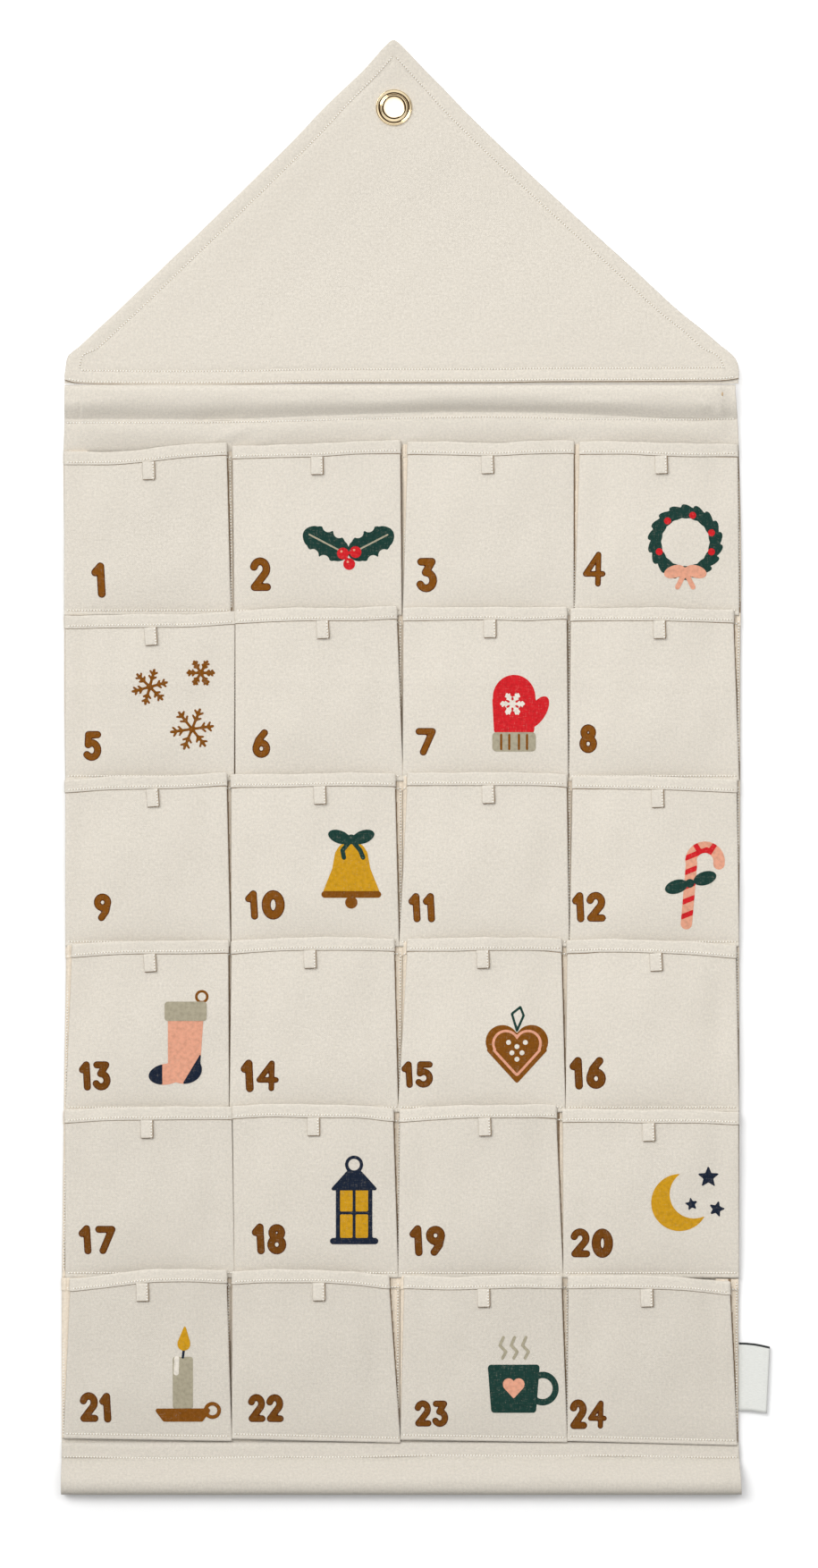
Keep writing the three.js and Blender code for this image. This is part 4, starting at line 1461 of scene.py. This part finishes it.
# How far the side hems' stitches are in
HEM_INSET = 8.6
PANEL_RIPPLES = ((0.10, 0.052, 0.013, 0, 0), (0.08, 0, 0.09, 0, 0))
# The panel's side hem: distance in from its edge and depth
SIDE_HEM = (
    (10.0, -0.28), (5.0, -0.26), (1.4, -0.26), (0.5, -0.34), (0.2, -0.52), (0.45, -0.72), (1.4, -0.8),
    (5, -0.82),
)


class CALENDAR_OT_panel(bpy.types.Operator):
    """Make the back panel with its turned side hems"""

    bl_idname = "calendar.panel"
    bl_label = "Back panel"

    def execute(self, context):
        top, bottom = TOP_STITCH_Z - 0.2, BOTTOM_STITCH_Z + 0.2
        inset, depths = np.transpose(SIDE_HEM)
        xs = np.concatenate([
            BODY_LEFT + inset, np.linspace(BODY_LEFT + 12, BODY_RIGHT - 12, 90), BODY_RIGHT - inset[::-1],
        ])
        ys = np.concatenate([depths, np.full(90, depths[-1]), depths[::-1]])
        x, z = np.meshgrid(xs, np.linspace(bottom, top, 150))
        levels = [FIRST_EDGE + SEAM - r * ROW_PITCH for r in range(ROWS)]
        seams = np.min([np.abs(z - height) for height in levels], axis=0)
        inner = smooth(np.minimum(x - BODY_LEFT, BODY_RIGHT - x), 9, 14)
        waves = ripples(x, z, PANEL_RIPPLES) - 0.12 * bell(seams / 1.2)
        y = ys + inner * waves - 4.5 * smooth(z, top - 22, top)
        along = lengths_along(np.stack([xs, ys], axis=1))
        uv = np.stack(np.meshgrid(along, z[:, 0] + 4000), axis=2)
        grid = np.stack([x + side_shift(x, z), y, z], axis=2)
        made = cloth_piece("back_panel_cloth", grid, PANEL_CLOTH, [canvas()], uv)
        settled(made, "panel", "back_panel")
        ends = [((BODY_LEFT + 1.5, -0.5, height), (BODY_RIGHT - 1.5, -0.5, height)) for height in levels]
        upright = [(BODY_LEFT + c * PITCH, -0.55, 8, 20) for c in range(1, COLUMNS)]
        upright += [(side, -0.04, 1, 1) for side in (BODY_LEFT + HEM_INSET, BODY_RIGHT - HEM_INSET)]
        ends += [((side, y, bottom + low), (side, y, top - high)) for side, y, low, high in upright]
        stitching("panel_back_stitching", [np.linspace(a, b, 60) for a, b in ends], BACKWARDS, "panel")
        return {"FINISHED"}


# How far a rod's ends are in from the cloth's sides
ROD_INSET = 11


class CALENDAR_OT_rods(bpy.types.Operator):
    """Make the two wooden rods with chamfered ends"""

    bl_idname = "calendar.rods"
    bl_label = "Rods"

    def execute(self, context):
        wood = shared("calendar_beech", wood_material)
        radius = millimetres(context.scene.calendar_fittings.rod) / 2
        half = PITCH * COLUMNS / 2 - ROD_INSET
        end = [(radius * 0.35, half), (radius - 0.9, half), (radius - 0.3, half - 0.35), (radius, half - 1.1)]
        middle = [(radius, t) for t in np.linspace(6 - half, half - 6, 9)]
        profile = [(r, -t) for r, t in end] + middle + end[::-1]
        for name, z in (("top", TOP_ROD_Z), ("bottom", BOTTOM_ROD_Z)):
            made = turned_piece(f"{name}_dowel", profile, 48, wood, "X", (BODY_MIDDLE, ROD_Y, z))
            settled(made, f"{name}_rod", f"{name}_rod")
        return {"FINISHED"}


# How far a number's darker rim reaches in, and half the box that a motif is drawn in
NUMBER_RIM = 0.65
MOTIF_SPAN = 34


class CALENDAR_OT_pockets(bpy.types.Operator):
    """Make the twenty-four pockets with their stitching, numbers and motifs"""

    bl_idname = "calendar.pockets"
    bl_label = "Pockets"

    def execute(self, context):
        for i in range(COLUMNS * ROWS):
            cloth = pocket_cloth(i)
            drape = Drape(cloth)
            seams = pocket_stitches(i, drape)
            left, right, top, bottom = NUMBER_PIXELS[i]
            box = (pixel_x(left), pixel_x(right), pixel_z(bottom), pixel_z(top))
            number = number_shape(str(i + 1), box)
            ink = "brown" if i < 3 * COLUMNS else "umber"
            layers = [("rim", number, box), (ink, lambda x, z: number(x, z) + NUMBER_RIM, box)]
            printed(f"number_{i + 1:02d}", layers, drape, 0.75)
            if i + 1 in MOTIFS:
                name, (across, up), size, shapes = MOTIFS[i + 1]
                x, z, span = pocket_middle(i) + across, pocket_bottom(i) + up, MOTIF_SPAN * size
                box = (x - span, x + span, z - span, z + span)
                layers = [(colour, moved(shape, (x, z), size), box) for colour, shape in shapes]
                printed(f"motif_{name}", layers, drape, 0.9)
            swing(cloth)
            swing(seams)
        return {"FINISHED"}


# Section of a folded tab: place across and depth
TAB_SECTION = (
    (4.4, 0.0), (2.4, 0.02), (0, 0.04), (-3.2, 0.04), (-4.05, 0.12), (-4.4, 0.5), (-4.05, 0.88),
    (-3.2, 0.98), (0, 1.0), (2.2, 0.96), (3.0, 0.86), (3.8, 0.95), (4.4, 0.98),
)
# Thickness of the tape
TAPE = 0.42
# Height on the front at which a tab comes out from under the hem, and how far it stands before the front
TAB_TOP = 110.8
TAB_BEFORE = 0.72
# Places down the tape from its end to its top
TAB_DOWNS = (12.9, 12.4, 11.8, 10.5, 8.5, 6, 3.5, 1.5, 0)


class CALENDAR_OT_tabs(bpy.types.Operator):
    """Make the pull tabs, each a strip folded lengthwise and stitched at its right edge"""

    bl_idname = "calendar.tabs"
    bl_label = "Pull tabs"

    def execute(self, context):
        along = lengths_along(TAB_SECTION)
        slots = np.zeros((len(TAB_DOWNS) - 1, len(TAB_SECTION) - 1), int)
        # The tab's lowest row and its right edge take the dark canvas: painted shadow
        slots[0] = slots[:, 0] = 1
        across, out = np.transpose(TAB_SECTION)
        downs = np.array(TAB_DOWNS)[:, None]
        for i, (middle, tilt) in enumerate(TAB_PIXELS):
            number, x0, turn = f"{i + 1:02d}", pixel_x(middle), math.radians(tilt)
            local = x0 - pocket_middle(i)
            top = pocket_bottom(i) + TAB_TOP + float(mouth_rise(i, local))
            depth = float(front_depth(i, local, 105)) + TAB_BEFORE
            x = across * (1 - 0.05 * smooth(downs, 11.6, 12.9))
            y = -depth - out * (1 - 0.3 * smooth(downs, 12, 12.9))
            y = y - 0.03 * downs ** 1.1 * (0.6 + 0.4 * math.sin(i * 2.1)) + 0.12 * smooth(downs, 9, 12.9)
            c, s = math.cos(turn), math.sin(turn)
            grid = np.stack([x0 + x * c + downs * s, y, top + x * s - downs * c], axis=2)
            uv = np.stack(np.meshgrid(along + 97 * i, downs[:, 0]), axis=2)
            name, materials = f"pull_tab_{number}_tape", [canvas("_facing"), canvas("_crease")]
            made = cloth_piece(name, grid[:, ::-1], TAPE, materials, uv[:, ::-1], slots=slots)
            settled(made, f"tab_{number}", f"pocket_tab_{number}")
            seam = grid[::-1, len(TAB_SECTION) - 3] - (0, 0.2, 0)
            stitching(f"pull_tab_{number}_stitching", [seam], body=f"tab_{number}")
        return {"FINISHED"}


# Thickness of the label
LABEL_CLOTH = 0.32
# The label: its left, right, top and bottom, and its section from the seam out and back, with depths
LABEL = (246.0, 268.0, -880.5, -929.0)
LABEL_SECTION = (
    (0, -1.55), (5, -1.5), (11, -1.55), (16, -1.5), (20.5, -1.6), (21.6, -1.75), (22, -2.05), (21.6, -2.35),
    (20.5, -2.5), (16, -2.5), (11, -2.4), (5, -2.3), (0, -2.2),
)


class CALENDAR_OT_label(bpy.types.Operator):
    """Make the folded label at the right side seam, left bare"""

    bl_idname = "calendar.label"
    bl_label = "Label"

    def execute(self, context):
        s = context.scene.calendar_fittings
        left, right, top, bottom = LABEL
        across, depths = np.transpose(LABEL_SECTION)
        zs = np.append(np.linspace(bottom, top - 1.5, 22), [top - 0.7, top])
        out, share = np.meshgrid(across / (right - left), (zs - bottom) / (top - bottom))
        bow = 0.9 * out ** 2 * (0.6 + 0.4 * np.sin(3.1 * share + 0.4))
        fall = out * (1.9 + 1.1 * share * out) - 0.5 * np.sin(math.pi * out)
        grid = np.stack([left + across - 2.4 * out * (1 - share), depths - bow, zs[:, None] - fall], axis=2)
        along = lengths_along(LABEL_SECTION)
        uv = np.stack(np.meshgrid(along, zs), axis=2)
        slots = np.zeros((len(zs) - 1, len(across) - 1), int)
        slots[-2:] = 1
        kinds = (("calendar_label", s.label), ("calendar_label_edge", s.label_edge))
        materials = [shared(name, label_material, colour) for name, colour in kinds]
        grid, uv = grid[:, ::-1], uv[:, ::-1]
        made = cloth_piece("side_label_cloth", grid, LABEL_CLOTH, materials, uv, slots=slots)
        settled(made, "side_label", "side_label")
        return {"FINISHED"}


# Stage

# The floor's height, the radius of the paper's bend and the paper's reach
FLOOR = -1650.0
BEND = 250.0
FAR = 7000.0
# Height of the camera's sensor
SENSOR = 24
# The calendar's middle, in metres
CENTRE = (0.0107, 0, -0.4821)
# Direction of the key light
KEY_WAY = (0.42, 0.77, -0.43)
KEY_SOFTNESS = math.radians(28)
# The Y between which the sky turns into the dark warm card
CARD_BAND = (-0.78, -0.58)
CARD_TINT = (1, 0.55, 0.22)


def backdrop_material(name):
    """Pale paper. From behind it lets the camera and the light through, so that the back can be seen."""
    s = bpy.context.scene.calendar_stage
    maker = Maker(name, s.paper, 1.0)
    path = maker.node("ShaderNodeLightPath").outputs
    height = maker.node("ShaderNodeSeparateXYZ", {"Vector": maker.solid()}).outputs["Z"]
    # At the roof's height the paper glows more: painted light that keeps the paper white round the roof and in
    # the eyelet
    glow = maker.math("MULTIPLY_ADD", maker.band(height, -0.32, -0.14), 0.32, s.glow)
    maker.shade({
        "Base Color": maker.mix(path["Is Diffuse Ray"], tones(s.paper), tones(s.paper, 0.4)),
        "Specular IOR Level": 0.0,
        "Emission Color": tones((1, 1, 1)),
        "Emission Strength": maker.times(maker.math("SUBTRACT", 1.0, path["Is Diffuse Ray"]), glow),
    })
    behind = maker.times(path["Is Camera Ray"], maker.node("ShaderNodeNewGeometry").outputs["Backfacing"])
    through = maker.math("MAXIMUM", behind, path["Is Shadow Ray"])
    clear = maker.node("ShaderNodeBsdfTransparent").outputs[0]
    mixed = maker.node("ShaderNodeMixShader", {0: through, 1: maker.shader.outputs[0], 2: clear})
    maker.put(maker.tree.nodes["Material Output"].inputs["Surface"], mixed.outputs[0])
    return maker.material


def linked(name, data, place=(0, 0, 0)):
    """An object of the stage, placed in the scene."""
    made = bpy.data.objects.new(name, data)
    bpy.context.scene.collection.objects.link(made)
    made.location = place
    return made


def facing(way):
    return Vector(way).to_track_quat("-Z", "Y").to_euler()


def area_light(name, place, target, size, power):
    light = bpy.data.lights.new(name, "AREA")
    light.shape = "SQUARE"
    light.size = size
    light.energy = power
    made = linked(name, light, place)
    made.rotation_euler = facing(Vector(target) - Vector(place))
    return made


class CALENDAR_OT_stage(bpy.types.Operator):
    """Make the pale backdrop and floor, the soft light and the camera"""

    bl_idname = "calendar.stage"
    bl_label = "Stage"

    def sky(self, context, s):
        """Even light, weaker from below. Brass sees it bright round a dark warm card straight ahead."""
        world = context.scene.world or bpy.data.worlds.new("stage_sky")
        context.scene.world = world
        world.use_nodes = True
        maker = Nodes(world.node_tree)
        seen = maker.node("ShaderNodeTexCoord").outputs["Generated"]
        way = maker.node("ShaderNodeSeparateXYZ", {"Vector": seen}).outputs
        glossy = maker.node("ShaderNodeLightPath").outputs["Is Glossy Ray"]
        even = maker.times(maker.band(way["Z"], -0.4, 0.5, 0.4, 1.15), s.sky)
        card = maker.math("SUBTRACT", maker.band(way["Y"], *CARD_BAND, 0.07, 1.6), 1.0)
        share = maker.times(maker.band(way["Y"], *CARD_BAND, 1.0, 0.0), glossy)
        background = maker.tree.nodes["Background"].inputs
        maker.put(background["Strength"], maker.times(even, maker.math("MULTIPLY_ADD", card, glossy, 1.0)))
        maker.put(background["Color"], maker.mix(share, tones((1, 1, 1)), tones(CARD_TINT)))

    def paper(self, name, section, step):
        """A sheet of the backdrop, from its section of depths and heights."""
        xs = np.linspace(-FAR, FAR, 9)
        count = len(xs)
        points = [(x, y, z) for y, z in section for x in xs]
        faces = []
        for first in range(0, (len(section) - 1) * count, count):
            for a in range(first, first + count - 1):
                faces.append((a, a + count, a + count + 1, a + 1)[::step])
        return add_piece(name, points, faces, [shared("stage_paper", backdrop_material)])

    def execute(self, context):
        s = context.scene.calendar_stage
        gap = millimetres(s.wall_gap)
        section = [(gap, FAR * 0.5), (gap, 400)] + [(gap, z) for z in np.linspace(200, FLOOR + BEND, 8)]
        for a in np.linspace(0.1, math.pi / 2, 12):
            section.append((gap - BEND * (1 - math.cos(a)), FLOOR + BEND * (1 - math.sin(a))))
        wall = self.paper("stage_backdrop", section + [(-FAR, FLOOR)], 1)
        rear = self.paper("stage_rear_floor", [(y, FLOOR) for y in (gap + 1, 2000, FAR)], -1)
        sun = bpy.data.lights.new("key_light", "SUN")
        sun.energy, sun.angle = s.sun, KEY_SOFTNESS
        linked("key_light", sun).rotation_euler = facing(KEY_WAY)
        front = area_light("front_light", (0.05, -1.8, -0.22), (0.05, 0, -0.22), 1.0, s.front)
        front.visible_glossy = False
        area_light("rear_light", (-1.2, 2.8, 1.6), CENTRE, 2.2, s.rear)
        self.sky(context, s)
        data = bpy.data.cameras.new("camera")
        data.sensor_fit = "VERTICAL"
        data.sensor_height = SENSOR
        data.lens = SENSOR * s.distance / (PICTURE[1] * PIXEL * MM)
        data.clip_end = 50
        middle_x, middle_z = pixel_x(PICTURE[0] / 2) * MM, pixel_z(PICTURE[1] / 2) * MM
        camera = linked("camera", data, (middle_x, -s.distance, middle_z))
        camera.rotation_euler = (math.pi / 2, 0, 0)
        context.scene.camera = camera
        context.scene.view_settings.view_transform = "Standard"
        return {"FINISHED"}


class CALENDAR_PT_panel(bpy.types.Panel):
    """Lists the calendar's pieces and settings"""

    bl_idname = "CALENDAR_PT_panel"
    bl_label = "Advent calendar"
    bl_space_type = "VIEW_3D"
    bl_region_type = "UI"
    bl_category = "Calendar"

    def draw(self, context):
        for name in SETTINGS:
            group = getattr(context.scene, name)
            box = self.layout.box()
            for key in group.bl_rna.properties.keys():
                if key not in ("rna_type", "name"):
                    box.prop(group, key)
        for operator in STEPS:
            self.layout.operator(operator.bl_idname)


STEPS = (
    CALENDAR_OT_stage, CALENDAR_OT_panel, CALENDAR_OT_casings, CALENDAR_OT_rods, CALENDAR_OT_roof,
    CALENDAR_OT_eyelet, CALENDAR_OT_pockets, CALENDAR_OT_tabs, CALENDAR_OT_label,
)


def register():
    for made in (*SETTINGS.values(), *STEPS, CALENDAR_PT_panel):
        bpy.utils.register_class(made)
    for name, group in SETTINGS.items():
        setattr(bpy.types.Scene, name, PointerProperty(type=group))


def unregister():
    for name in SETTINGS:
        delattr(bpy.types.Scene, name)
    for made in reversed((*SETTINGS.values(), *STEPS, CALENDAR_PT_panel)):
        bpy.utils.unregister_class(made)


def main():
    register()
    for step in STEPS:
        group, name = step.bl_idname.split(".")
        getattr(getattr(bpy.ops, group), name)()


if __name__ == "__main__":
    main()
